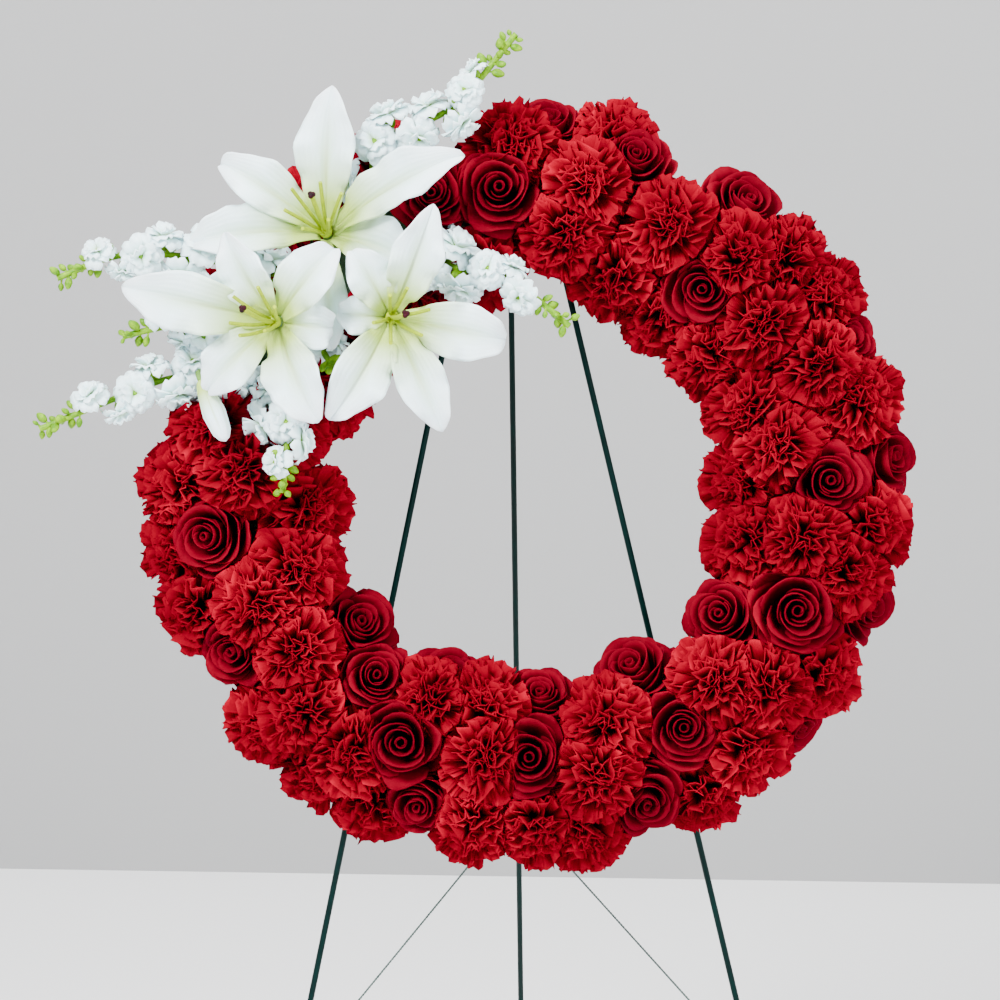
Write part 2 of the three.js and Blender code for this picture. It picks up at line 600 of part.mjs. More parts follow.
// The back leg hangs on the front frame's top by an open eye, and swings on it.
const pivot = stand(EASEL_X, APEX, LEG_PLANE);
const legWay = vec(0, Math.sin(deg(BACK_SPLAY)), -Math.cos(deg(BACK_SPLAY)));
const legOut = vec(0, Math.cos(deg(BACK_SPLAY)), Math.sin(deg(BACK_SPLAY)));
const backLine = (distance) => pivot.clone().addScaledVector(legOut, EYE_RADIUS)
  .addScaledVector(legWay, distance);
const eye = [];
for (let turn = 264; turn >= 0; turn -= 24) {
  eye.push(pivot.clone().addScaledVector(legOut, EYE_RADIUS * Math.cos(deg(turn)))
    .addScaledVector(legWay, -EYE_RADIUS * Math.sin(deg(turn))));
}
const backLength = (pivot.z - floorHeight) / Math.cos(deg(BACK_SPLAY)) + 20;
const backLeg = bar([...eye, backLine(backLength)], WIRE, 8).subtract(ground);
place(part, 'back_leg', backLeg, finishes.wire);

// Two spreader cords stop the back leg, each knotted round a front leg and the back leg.
[-1, 1].forEach((side) => {
  const frontAt = (up) => stand(EASEL_X + side * legX(up), up, LEG_PLANE);
  const front = frontAt(CORD.height);
  const frontWay = frontAt(CORD.height + 10).sub(front).normalize();
  const back = backLine(CORD.alongBack + 2 * side);
  const knot = (middle, way) => {
    const ring = new THREE.TorusGeometry(CORD.knot, CORD.radius, 4, 8);
    ring.applyQuaternion(new THREE.Quaternion().setFromUnitVectors(OUT, way));
    return solid(ring.translate(middle.x, middle.y, middle.z));
  };
  const line = back.clone().sub(front).normalize();
  const start = front.clone().add(line.clone().projectOnPlane(frontWay).setLength(CORD.knot));
  const finishPoint = back.clone().sub(line.clone().projectOnPlane(legWay).setLength(CORD.knot));
  const section = new THREE.Shape().absarc(0, 0, CORD.radius, 0, 2 * Math.PI);
  const tube = solid(new THREE.ExtrudeGeometry(section, { steps: 4, curveSegments: 2,
    extrudePath: new THREE.LineCurve3(start, finishPoint) }));
  place(part, side < 0 ? 'cord_left' : 'cord_right',
    join([knot(front, frontWay), tube, knot(back, legWay)]), finishes.cord);
});

// The origin goes to the middle of the underside.
part.updateMatrixWorld(true);
const box = new THREE.Box3().setFromObject(part, true);
part.position.set(-(box.min.x + box.max.x) / 2, -(box.min.y + box.max.y) / 2, -box.min.z);

export default part;
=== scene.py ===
import math
import random

import bpy
import numpy as np
from mathutils import Euler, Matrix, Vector


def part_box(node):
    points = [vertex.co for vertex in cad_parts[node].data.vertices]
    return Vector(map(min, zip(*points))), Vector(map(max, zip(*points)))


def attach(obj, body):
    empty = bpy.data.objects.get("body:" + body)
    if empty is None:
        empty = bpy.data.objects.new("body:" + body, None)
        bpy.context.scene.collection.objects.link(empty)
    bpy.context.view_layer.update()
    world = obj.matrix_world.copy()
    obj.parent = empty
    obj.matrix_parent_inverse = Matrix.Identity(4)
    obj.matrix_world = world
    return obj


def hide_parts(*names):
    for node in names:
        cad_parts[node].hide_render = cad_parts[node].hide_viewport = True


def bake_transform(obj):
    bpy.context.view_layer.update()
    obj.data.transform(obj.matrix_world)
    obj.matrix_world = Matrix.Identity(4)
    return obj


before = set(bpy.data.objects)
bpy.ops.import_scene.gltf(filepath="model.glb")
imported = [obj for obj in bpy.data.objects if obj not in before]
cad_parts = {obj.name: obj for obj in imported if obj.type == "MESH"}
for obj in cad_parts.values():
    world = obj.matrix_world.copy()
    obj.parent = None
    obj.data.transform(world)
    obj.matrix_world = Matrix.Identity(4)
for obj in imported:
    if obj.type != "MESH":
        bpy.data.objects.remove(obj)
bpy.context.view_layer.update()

scene = bpy.context.scene

# The camera stands level with the wreath's face, a little above it, as the photographer did.
# The foam ring's box gives the middle of the wreath, which is near the middle of the picture.
foam_low, foam_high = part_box("foam_ring")
ring_middle = np.array((Vector(foam_low) + Vector(foam_high)) / 2)
CAMERA_DISTANCE = 2.2
CAMERA_RISE = math.radians(9)
PICTURE_WIDTH = 0.64
PICTURE_ROLL = math.radians(-0.9)
AIM_LEFT = 0.0186
AIM_DOWN = 0.0105

camera_data = bpy.data.cameras.new("camera")
camera_data.lens = camera_data.sensor_width * CAMERA_DISTANCE / PICTURE_WIDTH
camera = bpy.data.objects.new("camera", camera_data)
scene.collection.objects.link(camera)
towards = Vector((0, -math.cos(CAMERA_RISE), math.sin(CAMERA_RISE)))
aim = Vector(ring_middle) + Vector((-AIM_LEFT, 0, -AIM_DOWN))
camera.rotation_euler = Euler((math.pi / 2 - CAMERA_RISE, 0, 0))
camera.location = aim + towards * CAMERA_DISTANCE
camera.rotation_euler.rotate_axis("Z", PICTURE_ROLL)
scene.camera = camera

# The wreath leans back on its easel, so its flowers are placed in its own frame:
# x to the right, y up the leaning plane and z out of it, in millimetres from the tray's back.
LEAN_BACK = math.radians(10)
FOAM_BOX_MIDDLE = (0, -0.966, 22.85)
wreath_axes = np.array([
    (1, 0, 0),
    (0, math.sin(LEAN_BACK), math.cos(LEAN_BACK)),
    (0, -math.cos(LEAN_BACK), math.sin(LEAN_BACK)),
])


def in_world(points):
    """Places in the wreath's frame, as places in the world."""
    return ring_middle + (np.asarray(points, float) - FOAM_BOX_MIDDLE) @ wreath_axes / 1000


def deselect():
    if bpy.context.object and bpy.context.object.mode != "OBJECT":
        bpy.ops.object.mode_set(mode="OBJECT")
    bpy.ops.object.select_all(action="DESELECT")


def select(*objects):
    deselect()
    for piece in objects:
        piece.select_set(True)
    bpy.context.view_layer.objects.active = objects[0]


def joined(name, objects):
    """Several meshes as one piece."""
    select(*objects)
    if len(objects) > 1:
        bpy.ops.object.join()
    piece = bpy.context.object
    piece.name = name
    piece.data.name = name
    return piece


def corners(piece):
    places = np.empty(len(piece.data.vertices) * 3)
    piece.data.vertices.foreach_get("co", places)
    return places.reshape(-1, 3)


def move_corners(piece, places):
    piece.data.vertices.foreach_set("co", np.asarray(places, float).ravel())
    piece.data.update()


def copy_of(master):
    piece = master.copy()
    piece.data = master.data.copy()
    scene.collection.objects.link(piece)
    return piece


def marked(piece, name, values):
    """Give each corner of a mesh its own value, for its colour."""
    mark = piece.data.attributes.new(name, "FLOAT", "POINT")
    mark.data.foreach_set("value", np.asarray(values, np.float32))
    return piece


def faced_outward(piece, weld=0):
    """Close seams narrower than the weld, and turn every face of a shell outward."""
    select(piece)
    bpy.ops.object.mode_set(mode="EDIT")
    bpy.ops.mesh.select_all(action="SELECT")
    if weld:
        bpy.ops.mesh.remove_doubles(threshold=weld)
    bpy.ops.mesh.normals_make_consistent(inside=False)
    bpy.ops.object.mode_set(mode="OBJECT")


def finish_as(piece, material, body, slot, *nodes):
    """Give a piece its material, its body and the solids that it stands for."""
    piece.data.materials.clear()
    piece.data.materials.append(material)
    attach(piece, body)
    if nodes:
        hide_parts(*nodes)


# The easel is bent from green enamelled wire. One wire makes both front legs, with a narrow
# bend at the top, and four prongs are welded to it. The back leg hooks round the bend.
WIRE = 0.002
PRONG_WIRE = 0.00175
PRONG_POINT = 0.0012
WELD_RADIUS = 0.0027
BEND_RADIUS = 0.004
SEAM = 1e-6
EASEL_X = -9
LEG_PLANE = -2.5
APEX = 241
FEET = -669
LEG_SPLAY = 0.22
LEGS_MEET = 290.6
TOP_BEND_DROP, TOP_BEND_CORNER, TOP_BEND_DRAW, TOP_BEND_HALF = 9, 3, 1.8, 6.5
PAST_FLOOR = 20
PRONGS = [(-1, -150), (1, -150), (-1, 175), (1, 175)]
PRONG_TIP = 22
BACK_SPLAY = math.radians(18)
EYE_RADIUS = 0.0044
HOOK_TURN = 264


def rounded(points, radius, steps=6):
    """A bent line with its corners turned on a radius."""
    path = [Vector(points[0])]
    for before, corner, after in zip(points, points[1:], points[2:]):
        before, corner, after = Vector(before), Vector(corner), Vector(after)
        reach = min(radius, (corner - before).length / 2, (after - corner).length / 2)
        start = corner + (before - corner).normalized() * reach
        end = corner + (after - corner).normalized() * reach
        for step in range(steps + 1):
            share = step / steps
            path.append(start.lerp(corner, share).lerp(corner.lerp(end, share), share))
    path.append(Vector(points[-1]))
    return path


def wire(name, points, radius, sides=12):
    """A round bar along a line, closed at both ends."""
    line = bpy.data.curves.new(name, "CURVE")
    line.dimensions = "3D"
    line.bevel_depth = radius
    line.bevel_resolution = sides // 2 - 2
    line.use_fill_caps = True
    spline = line.splines.new("POLY")
    spline.points.add(len(points) - 1)
    for knot, place in zip(spline.points, points):
        knot.co = (*place, 1)
    piece = bpy.data.objects.new(name, line)
    scene.collection.objects.link(piece)
    select(piece)
    bpy.ops.object.convert(target="MESH")
    faced_outward(piece, SEAM)
    bpy.ops.object.shade_smooth_by_angle(angle=math.radians(50))
    return bpy.context.object


def cut_at_floor(piece):
    select(piece)
    bpy.ops.object.mode_set(mode="EDIT")
    bpy.ops.mesh.select_all(action="SELECT")
    bpy.ops.mesh.bisect(plane_co=(0, 0, 0), plane_no=(0, 0, 1), use_fill=True, clear_inner=True)
    bpy.ops.object.mode_set(mode="OBJECT")


def leg_x(up):
    return LEG_SPLAY * (LEGS_MEET - up)


def leg_place(side, up):
    return in_world((EASEL_X + side * leg_x(up), up, LEG_PLANE))


def node_group(name, inputs, outputs):
    """A shader node group with named sockets, and its input and output nodes."""
    tree = bpy.data.node_groups.new(name, "ShaderNodeTree")
    for socket, value in inputs.items():
        tree.interface.new_socket(socket, in_out="INPUT",
                                  socket_type="NodeSocketFloat").default_value = value
    for socket, kind in outputs.items():
        tree.interface.new_socket(socket, in_out="OUTPUT", socket_type=kind)
    return tree, tree.nodes.new("NodeGroupInput"), tree.nodes.new("NodeGroupOutput")


def placed(tree, group, **values):
    """A node group set in a material with its own values."""
    node = tree.nodes.new("ShaderNodeGroup")
    node.node_tree = group
    for socket, value in values.items():
        node.inputs[socket].default_value = value
    return node


def feed(tree, socket, value):
    """Set a socket from a number, a colour or another node's output."""
    if isinstance(value, (int, float)):
        socket.default_value = value
    elif isinstance(value, tuple):
        socket.default_value = (*value, 1)
    else:
        tree.links.new(value, socket)


def mapped(tree, value, low, high, to_low, to_high):
    """A value spread from one range to another, clamped."""
    node = tree.nodes.new("ShaderNodeMapRange")
    for socket, number in zip(("Value", "From Min", "From Max", "To Min", "To Max"),
                              (value, low, high, to_low, to_high)):
        feed(tree, node.inputs[socket], number)
    return node.outputs["Result"]


def combined(tree, operation, first, second=0):
    node = tree.nodes.new("ShaderNodeMath")
    node.operation = operation
    feed(tree, node.inputs[0], first)
    feed(tree, node.inputs[1], second)
    return node.outputs["Value"]


def blended(tree, share, first, second):
    """Two colours mixed by a share; either may come from another node."""
    node = tree.nodes.new("ShaderNodeMix")
    node.data_type = "RGBA"
    for socket, value in zip((0, 6, 7), (share, first, second)):
        feed(tree, node.inputs[socket], value)
    return node.outputs[2]


def noise(tree, scale, detail=2.0):
    """Noise on the object's own coordinates; the scale may be a group's input."""
    where = tree.nodes.new("ShaderNodeTexCoord")
    node = tree.nodes.new("ShaderNodeTexNoise")
    feed(tree, node.inputs["Scale"], scale)
    feed(tree, node.inputs["Detail"], detail)
    feed(tree, node.inputs["Vector"], where.outputs["Object"])
    return node.outputs["Fac"]


def relief(tree, height, strength, depth):
    """A bump whose strength and depth are the inputs of a group."""
    node = tree.nodes.new("ShaderNodeBump")
    tree.links.new(strength, node.inputs["Strength"])
    tree.links.new(depth, node.inputs["Distance"])
    tree.links.new(height, node.inputs["Height"])
    return node.outputs["Normal"]


# Fine grain with a slower mottle over it, which every hard or leafy surface here has.
grain, ends_in, ends_out = node_group(
    "grain", {"Scale": 100.0, "Mottle": 20.0, "Strength": 0.2, "Depth": 0.0003},
    {"Grain": "NodeSocketFloat", "Mottle": "NodeSocketFloat", "Normal": "NodeSocketVector"})
fine = noise(grain, ends_in.outputs["Scale"], 4.0)
grain.links.new(fine, ends_out.inputs["Grain"])
grain.links.new(noise(grain, ends_in.outputs["Mottle"], 3.0), ends_out.inputs["Mottle"])
grain.links.new(relief(grain, fine, ends_in.outputs["Strength"], ends_in.outputs["Depth"]),
                ends_out.inputs["Normal"])


def bare_material(name, **sockets):
    material = bpy.data.materials.new(name)
    material.use_nodes = True
    shader = material.node_tree.nodes["Principled BSDF"]
    for socket, value in sockets.items():
        shader.inputs[socket.replace("_", " ")].default_value = value
    return material, material.node_tree, shader


def mottled(name, dark, light, dull, scale, mottle, strength, depth, **sockets):
    """A surface whose colour and shine drift from place to place, over a fine grain."""
    material, tree, shader = bare_material(name, **sockets)
    node = placed(tree, grain, Scale=scale, Mottle=mottle, Strength=strength, Depth=depth)
    share = mapped(tree, node.outputs["Mottle"], 0.3, 0.7, 0, 1)
    shine = mapped(tree, node.outputs["Mottle"], 0.3, 0.7, *dull)
    speck = mapped(tree, node.outputs["Grain"], 0.3, 0.7, 0.55, 1)
    speck = combined(tree, "MULTIPLY", speck, share)
    tree.links.new(blended(tree, speck, dark, light), shader.inputs["Base Color"])
    tree.links.new(shine, shader.inputs["Roughness"])
    tree.links.new(node.outputs["Normal"], shader.inputs["Normal"])
    return material


wire_green = mottled("easel_enamel", (0.0001, 0.006, 0.0055), (0.0002, 0.014, 0.012), (0.3, 0.5),
                     300, 60, 0.12, 0.0003, Specular_IOR_Level=0.05)
below, bend = FEET - PAST_FLOOR, APEX - TOP_BEND_DROP
half_frame = [(leg_x(below), below), (leg_x(bend), bend),
              (leg_x(bend) - TOP_BEND_DRAW, APEX - TOP_BEND_CORNER), (TOP_BEND_HALF, APEX)]
frame_line = [(-x, up) for x, up in half_frame] + [(x, up) for x, up in reversed(half_frame)]
bent = rounded(in_world([(EASEL_X + x, up, LEG_PLANE) for x, up in frame_line]), BEND_RADIUS)
front_pieces = [wire("front_frame_wire", bent, WIRE, 16)]
cut_at_floor(front_pieces[0])
for side, up in PRONGS:
    x = EASEL_X + side * leg_x(up)
    prong = wire("prong", in_world([(x, up, LEG_PLANE), (x, up, PRONG_TIP - 3)]), PRONG_WIRE)
    point = wire("prong_point", in_world([(x, up, PRONG_TIP - 4), (x, up, PRONG_TIP)]), PRONG_POINT)
    bpy.ops.mesh.primitive_uv_sphere_add(segments=16, ring_count=8, radius=WELD_RADIUS,
                                         location=in_world((x, up, LEG_PLANE)))
    weld = bpy.context.object
    weld.scale = (1, 1, 1.5)
    bpy.ops.object.transform_apply(location=True, rotation=True, scale=True)
    front_pieces += [prong, point, weld]
front_frame = joined("front_frame_wire", front_pieces)
finish_as(front_frame, wire_green, "stand", "easel_wire", "front_frame")

pivot = Vector(in_world((EASEL_X, APEX, LEG_PLANE)))
back_way = Vector((0, math.sin(BACK_SPLAY), -math.cos(BACK_SPLAY)))
back_out = Vector((0, math.cos(BACK_SPLAY), math.sin(BACK_SPLAY)))


def back_leg_place(distance):
    return pivot + back_out * EYE_RADIUS + back_way * distance


hook = [pivot + (back_out * math.cos(turn) - back_way * math.sin(turn)) * EYE_RADIUS
        for turn in np.radians(np.arange(HOOK_TURN, -1, -12))]
back_length = pivot.z / math.cos(BACK_SPLAY) + PAST_FLOOR / 1000
back_leg = wire("back_leg_wire", hook + [back_leg_place(back_length)], WIRE, 16)
cut_at_floor(back_leg)
finish_as(back_leg, wire_green, "back_leg", "easel_wire", "back_leg")

# Two thin cords stop the back leg. Each is twisted from two strands, runs straight from a
# front leg to the back leg, and is wound round each in three tight turns.
CORD_HEIGHT = -380
CORD_ALONG_BACK = 0.534
CORD_RADIUS = 0.00075
STRAND = 0.0005
TWIST = 0.006
STRAND_STEPS = 8
TIE_RADIUS = 0.0031
TIE_TURNS, TIE_STEPS = 3, 12
TIES_APART = 0.002
TIE_ABOVE = 10


def strand_helix(start, end, offset):
    way = (end - start).normalized()
    side = way.cross(Vector((0, 0, 1))).normalized()
    over = way.cross(side)
    length = (end - start).length
    steps = int(length / TWIST * STRAND_STEPS)
    points = []
    for step in range(steps + 1):
        turn = 2 * math.pi * step / STRAND_STEPS + offset
        points.append(start.lerp(end, step / steps)
                      + (side * math.cos(turn) + over * math.sin(turn)) * (CORD_RADIUS - STRAND))
    return points


def tie(middle, way):
    """Turns of cord round a leg."""
    side = way.cross(Vector((0, 0, 1))).normalized()
    over = way.cross(side)
    points = []
    for step in range(TIE_TURNS * TIE_STEPS + 1):
        turn = 2 * math.pi * step / TIE_STEPS
        points.append(middle + way * 2 * CORD_RADIUS * (step / TIE_STEPS - TIE_TURNS / 2)
                      + (side * math.cos(turn) + over * math.sin(turn)) * TIE_RADIUS)
    return points


twine = mottled("cord_fibre", (0.03, 0.05, 0.045), (0.11, 0.15, 0.14), (0.75, 0.95), 1500, 500,
                0.6, 0.0002, Specular_IOR_Level=0.2)
for side, node in ((-1, "cord_left"), (1, "cord_right")):
    front = Vector(leg_place(side, CORD_HEIGHT))
    front_way = (Vector(leg_place(side, CORD_HEIGHT + TIE_ABOVE)) - front).normalized()
    back = back_leg_place(CORD_ALONG_BACK + TIES_APART * side)
    way = (back - front).normalized()
    start = front + (way - front_way * way.dot(front_way)).normalized() * TIE_RADIUS
    end = back - (way - back_way * way.dot(back_way)).normalized() * TIE_RADIUS
    strands = [wire("strand", strand_helix(start, end, offset), STRAND, 6)
               for offset in (0, math.pi)]
    cord = joined(node + "_twine", strands)
    ties = [wire("tie", tie(front, front_way), CORD_RADIUS, 8),
            wire("tie", tie(back, back_way), CORD_RADIUS, 8)]
    for piece, body, end_name in zip(ties, ("stand", "back_leg"), ("front", "back")):
        piece.name = node + "_tie_" + end_name
        finish_as(piece, twine, body, "spreader_cord")
    cord.data.materials.append(twine)
    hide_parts(node)
    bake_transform(cord)

# The tray is moulded green plastic: a flat ring with a low wall on each side, rounded rims and
# two shallow grooves round its back.
RING_RADIUS = 179
RING_STEPS = 144
TRAY_WALL = 1.6
TRAY_FLOOR = 2.5
TRAY_HEIGHT = 14
TRAY_GAP = 0.3
TRAY_EDGE = 1
RIM_EDGE = 0.5
TRAY_GROOVES = [(-20, 0), (-19, 0.8), (-17, 0.8), (-16, 0), (16, 0), (17, 0.8), (19, 0.8), (20, 0)]
FOAM_HALF = 32


def ring_of(name, section):
    """A ring turned from its section: places out from the tube's middle and up from its back."""
    outline = bpy.data.meshes.new(name)
    places = in_world([(RING_RADIUS + out, 0, up) for out, up in section])
    count = len(section)
    outline.from_pydata(places.tolist(), [(i, (i + 1) % count) for i in range(count)], [])
    piece = bpy.data.objects.new(name, outline)
    scene.collection.objects.link(piece)
    select(piece)
    bpy.ops.object.mode_set(mode="EDIT")
    bpy.ops.mesh.select_all(action="SELECT")
    bpy.ops.mesh.spin(steps=RING_STEPS, angle=2 * math.pi, center=tuple(in_world((0, 0, 0))),
                      axis=tuple(wreath_axes[2]))
    faced_outward(piece, SEAM)
    bpy.ops.object.shade_smooth_by_angle(angle=math.radians(40))
    return piece


inner = FOAM_HALF + TRAY_GAP
outer = inner + TRAY_WALL
left_rim, right_rim = ([(low, TRAY_HEIGHT - RIM_EDGE), (low + RIM_EDGE, TRAY_HEIGHT),
                        (high - RIM_EDGE, TRAY_HEIGHT), (high, TRAY_HEIGHT - RIM_EDGE)]
                       for low, high in ((-outer, -inner), (inner, outer)))
section = [(-outer, TRAY_EDGE), (-outer + TRAY_EDGE, 0), *TRAY_GROOVES, (outer - TRAY_EDGE, 0),
           (outer, TRAY_EDGE), *right_rim[::-1], (inner, TRAY_FLOOR), (-inner, TRAY_FLOOR),
           *left_rim[::-1]]
tray = ring_of("tray_shell", section)
tray_plastic = mottled("tray_plastic", (0.010, 0.045, 0.020), (0.026, 0.105, 0.050), (0.38, 0.62),
                       420, 14, 0.25, 0.0003)
finish_as(tray, tray_plastic, "stand", "tray_plastic", "tray")

# The foam ring is wet floral foam: dark green, crumbly and full of pores. The blooms hide most
# of it, and their stems stand in it.
FOAM_SECTION = [(-32, 2.8), (32, 2.8), (32, 30), (31, 33), (23, 43.6), (20.5, 45), (-20.5, 45),
                (-23, 43.6), (-31, 33), (-32, 30)]
wet_foam = mottled("wet_foam", (0.010, 0.030, 0.012), (0.050, 0.120, 0.048), (0.85, 1.0), 600, 90,
                   1.0, 0.0012)
foam = ring_of("foam_block", FOAM_SECTION)
finish_as(foam, wet_foam, "stand", "floral_foam", "foam_ring")

# Blooms stand all over the foam, each on its own short stem. A bloom is made of thin petals
# that are modelled one by one, pressed flat where its neighbours stand against it.
TUBE_HEIGHT = 24
BLOOM_REACH = 44
FACING = 0.65
FOAM_TOP = 45
BLOOM_LOWEST = 5
PRESS_GIVE = 0.25
PRESS_FROM, PRESS_TO = 0.3, 0.7
ROSES = [
    (3, 73, 52), (23, 54, 50), (47, -20, 55), (51, 58, 54), (71, 45, 50), (86, 70, 50),
    (95, 5, 58), (108, 12, 48), (189, 30, 52), (209, 43, 50), (219, -52, 50), (231, -28, 48),
    (243, 3, 62), (248, -72, 48), (250, 45, 48), (269, -7, 56), (272, -62, 44), (289, 43, 52),
    (298, -62, 50), (301, 3, 50), (317, 78, 50), (324, -40, 48), (333, 7, 60), (339, 73, 52),
    (359, 9, 52),
]
CARNATION_SIZE = 64
CARNATIONS = [
    [(92, 44), (78, 12), (81, -29), (75, 66), (66, -58)],
    [(60, 3), (46, 14), (40, 48), (31, 56)],
    [(51, -72), (34, -58), (33, -4), (17, -45)],
    [(21, 21), (13, 48)],
    [(7, -27), (359, -62), (344, -50), (347, -4)],
    [(351, 54), (343, 36)],
    [(325, 60), (318, 24), (312, -8), (308, 53), (298, 78)],
    [(287, -25), (282, 13), (278, 62), (270, 50), (260, 54)],
    [(260, -5), (258, -46), (245, -36)],
    [(236, 30), (225, 30), (243, 80), (233, 75), (222, 72)],
    [(215, 1), (204, 9), (200, -30), (186, -52)],
    [(180, 62), (190, 76), (200, 73)],
    [(177, 0), (169, 26), (168, -30)],
    [(151, 70), (139, 70), (127, 70), (115, 70)],
    [(154, -66), (137, -66), (120, -66), (102, -60)],
]


def seat(angle, lean):
    """Where a bloom stands: its middle, the way it faces and the way back to its root."""
    turn, tip = math.radians(angle), math.radians(lean)
    radial = np.array((math.cos(turn), math.sin(turn), 0))
    out = np.array((0, 0, 1.0))
    root = radial * math.sin(tip) + out * math.cos(tip)
    facing = radial * math.sin(tip * FACING) + out * math.cos(tip * FACING)
    middle = radial * RING_RADIUS + out * TUBE_HEIGHT + root * BLOOM_REACH
    along = np.array((-radial[1], radial[0], 0))
    return {"middle": middle, "facing": facing, "root": root, "along": along}


rose_seats = [dict(seat(angle, lean), size=size) for angle, lean, size in ROSES]
carnation_seats = [[dict(seat(angle, lean), size=CARNATION_SIZE) for angle, lean in places]
                   for places in CARNATIONS]
all_seats = rose_seats + [bloom for places in carnation_seats for bloom in places]


def pressed(places, bloom):
    """Corners of a bloom, pushed back where they pass the plane shared with a neighbour."""
    for other in all_seats:
        way = other["middle"] - bloom["middle"]
        length = np.linalg.norm(way)
        if length < 1 or length > (bloom["size"] + other["size"]) / 2:
            continue
        way = way / length
        share = (length ** 2 + (bloom["size"] / 2) ** 2 - (other["size"] / 2) ** 2) / (2 * length)
        limit = min(max(share, PRESS_FROM * length), PRESS_TO * length)
        over = np.maximum(0, (places - bloom["middle"]) @ way - limit + 1)
        places = places - np.outer(over * (1 - PRESS_GIVE), way)
    places[:, 2] = np.maximum(places[:, 2], BLOOM_LOWEST)
    return places


def turned(out, aside, level, turn):
    """Places on a petal or flower, turned round the flower's own axis."""
    return np.column_stack([out * math.cos(turn) - aside * math.sin(turn),
                            out * math.sin(turn) + aside * math.cos(turn), level])


def planted(master, bloom, turn):
    """A copy of a modelled bloom, in millimetres round its middle, set on the ring."""
    piece = copy_of(master)
    flat = corners(master) * bloom["size"]
    spun = turned(*flat.T, turn)
    share = np.clip(0.5 - 2 * flat[:, 2] / bloom["size"], 0, 1)[:, None]
    axis = bloom["facing"] * (1 - share) + bloom["root"] * share
    axis /= np.linalg.norm(axis, axis=1)[:, None]
    across = bloom["along"] - axis * (axis @ bloom["along"])[:, None]
    across /= np.linalg.norm(across, axis=1)[:, None]
    over = np.cross(axis, across)
    places = bloom["middle"] + axis * flat[:, 2:] + across * spun[:, :1] + over * spun[:, 1:2]
    move_corners(piece, in_world(pressed(places, bloom)))
    return piece


def petal(columns, rows, thickness, shape):
    """One petal: a thin sheet shaped by a rule, from -1 to 1 across and 0 to 1 up to its rim."""
    bpy.ops.mesh.primitive_grid_add(x_subdivisions=columns, y_subdivisions=rows, size=2)
    piece = bpy.context.object
    flat = corners(piece)
    across, up = flat[:, 0], (flat[:, 1] + 1) / 2
    move_corners(piece, shape(across, up))
    marked(marked(piece, "rim", up), "side", across)
    wall = piece.modifiers.new("thickness", "SOLIDIFY")
    wall.thickness = thickness
    wall.offset = 0
    bpy.ops.object.modifier_apply(modifier=wall.name)
    bpy.ops.object.shade_smooth()
    return piece


def depth_shade(piece, value):
    """How deep in its flower a petal sits, which sets how much painted shade darkens it: inner
    petals are shaded more.
    """
    return marked(piece, "depth_shade", np.full(len(piece.data.vertices), value))


# A rose has a tight spiral of petals at its heart, and wider ones round it whose rims roll
# outwards. Each row is petals, rim radius, rim height, half width in degrees, roll and droop.
ROSE_ROWS = [
    (2, 0.050, 0.330, 165, 0.004, 0.02), (3, 0.125, 0.370, 110, 0.014, 0.06),
    (3, 0.210, 0.385, 98, 0.028, 0.12), (4, 0.310, 0.360, 76, 0.050, 0.18),
    (5, 0.405, 0.280, 58, 0.068, 0.22), (5, 0.475, 0.150, 50, 0.078, 0.22),
    (4, 0.500, 0.010, 46, 0.060, 0.18),
]
ROSE_BASE = -0.30
ROSE_PETAL = 0.012


def rose_petal(row, turn, chance):
    reach, height, half, roll, droop = row[1:]
    half = math.radians(half) * chance.uniform(0.88, 1.1)
    reach *= chance.uniform(0.84, 1.07)
    height += chance.uniform(-0.045, 0.025)
    droop *= chance.uniform(0.6, 1.4)
    roll *= chance.uniform(0.6, 1.5)
    spiral = 0.16 * chance.uniform(0.7, 1.3)
    ripple, peak = chance.uniform(0, 6.28), chance.uniform(-0.25, 0.25)

    def shape(across, up):
        width = np.interp(up, [0, 0.3, 0.7, 0.88, 1], [0.3, 0.62, 1, 0.98, 0.80])
        angle = turn + across * half * width
        off = across - peak
        rise = up * (1 - droop * off ** 2 * up)
        radius = 0.03 + (reach - 0.03) * np.sin(math.pi / 2 * np.clip(rise * 1.12, 0, 1)) ** 0.8
        radius = radius * (1 + spiral * across * up)
        level = ROSE_BASE + (height - ROSE_BASE) * rise ** 1.3
        edge = np.clip((up - 0.72) / 0.28, 0, 1)
        curl = roll * edge ** 1.5 * (1 + 0.45 * np.sin(3.5 * across + ripple))
        curl = curl * (1.2 - 0.5 * off ** 2)
        radius = radius + curl
        level = level - 0.7 * curl * edge + 0.012 * np.sin(4 * across + 2 * ripple) * edge
        return np.column_stack([radius * np.cos(angle), radius * np.sin(angle), level])

    return shape


def model_rose(seed):
    chance = random.Random(seed)
    petals = []
    turn = chance.uniform(0, 6)
    for depth, row in enumerate(ROSE_ROWS):
        for i in range(row[0]):
            turn += 2 * math.pi / row[0] + (0.25 if i == 0 else 0) + chance.uniform(-0.3, 0.3)
            piece = petal(9, 6, ROSE_PETAL, rose_petal(row, turn, chance))
            petals.append(depth_shade(piece, depth / (len(ROSE_ROWS) - 1) + chance.uniform(-0.06, 0.06)))
    return joined("rose_master", petals)


# Petals have fine lengthwise ribs over soft clouds of colour, and broad patches make some
# heads darker than others.
HEAD_PATCHES = 18
petal_skin, ends_in, ends_out = node_group(
    "petal_skin", {"Ribs": 20.0, "Clouds": 100.0, "Strength": 0.3, "Depth": 0.0004},
    {"Clouds": "NodeSocketFloat", "Normal": "NodeSocketVector"})


def attribute(tree, name):
    node = tree.nodes.new("ShaderNodeAttribute")
    node.attribute_name = name
    return node.outputs["Fac"]


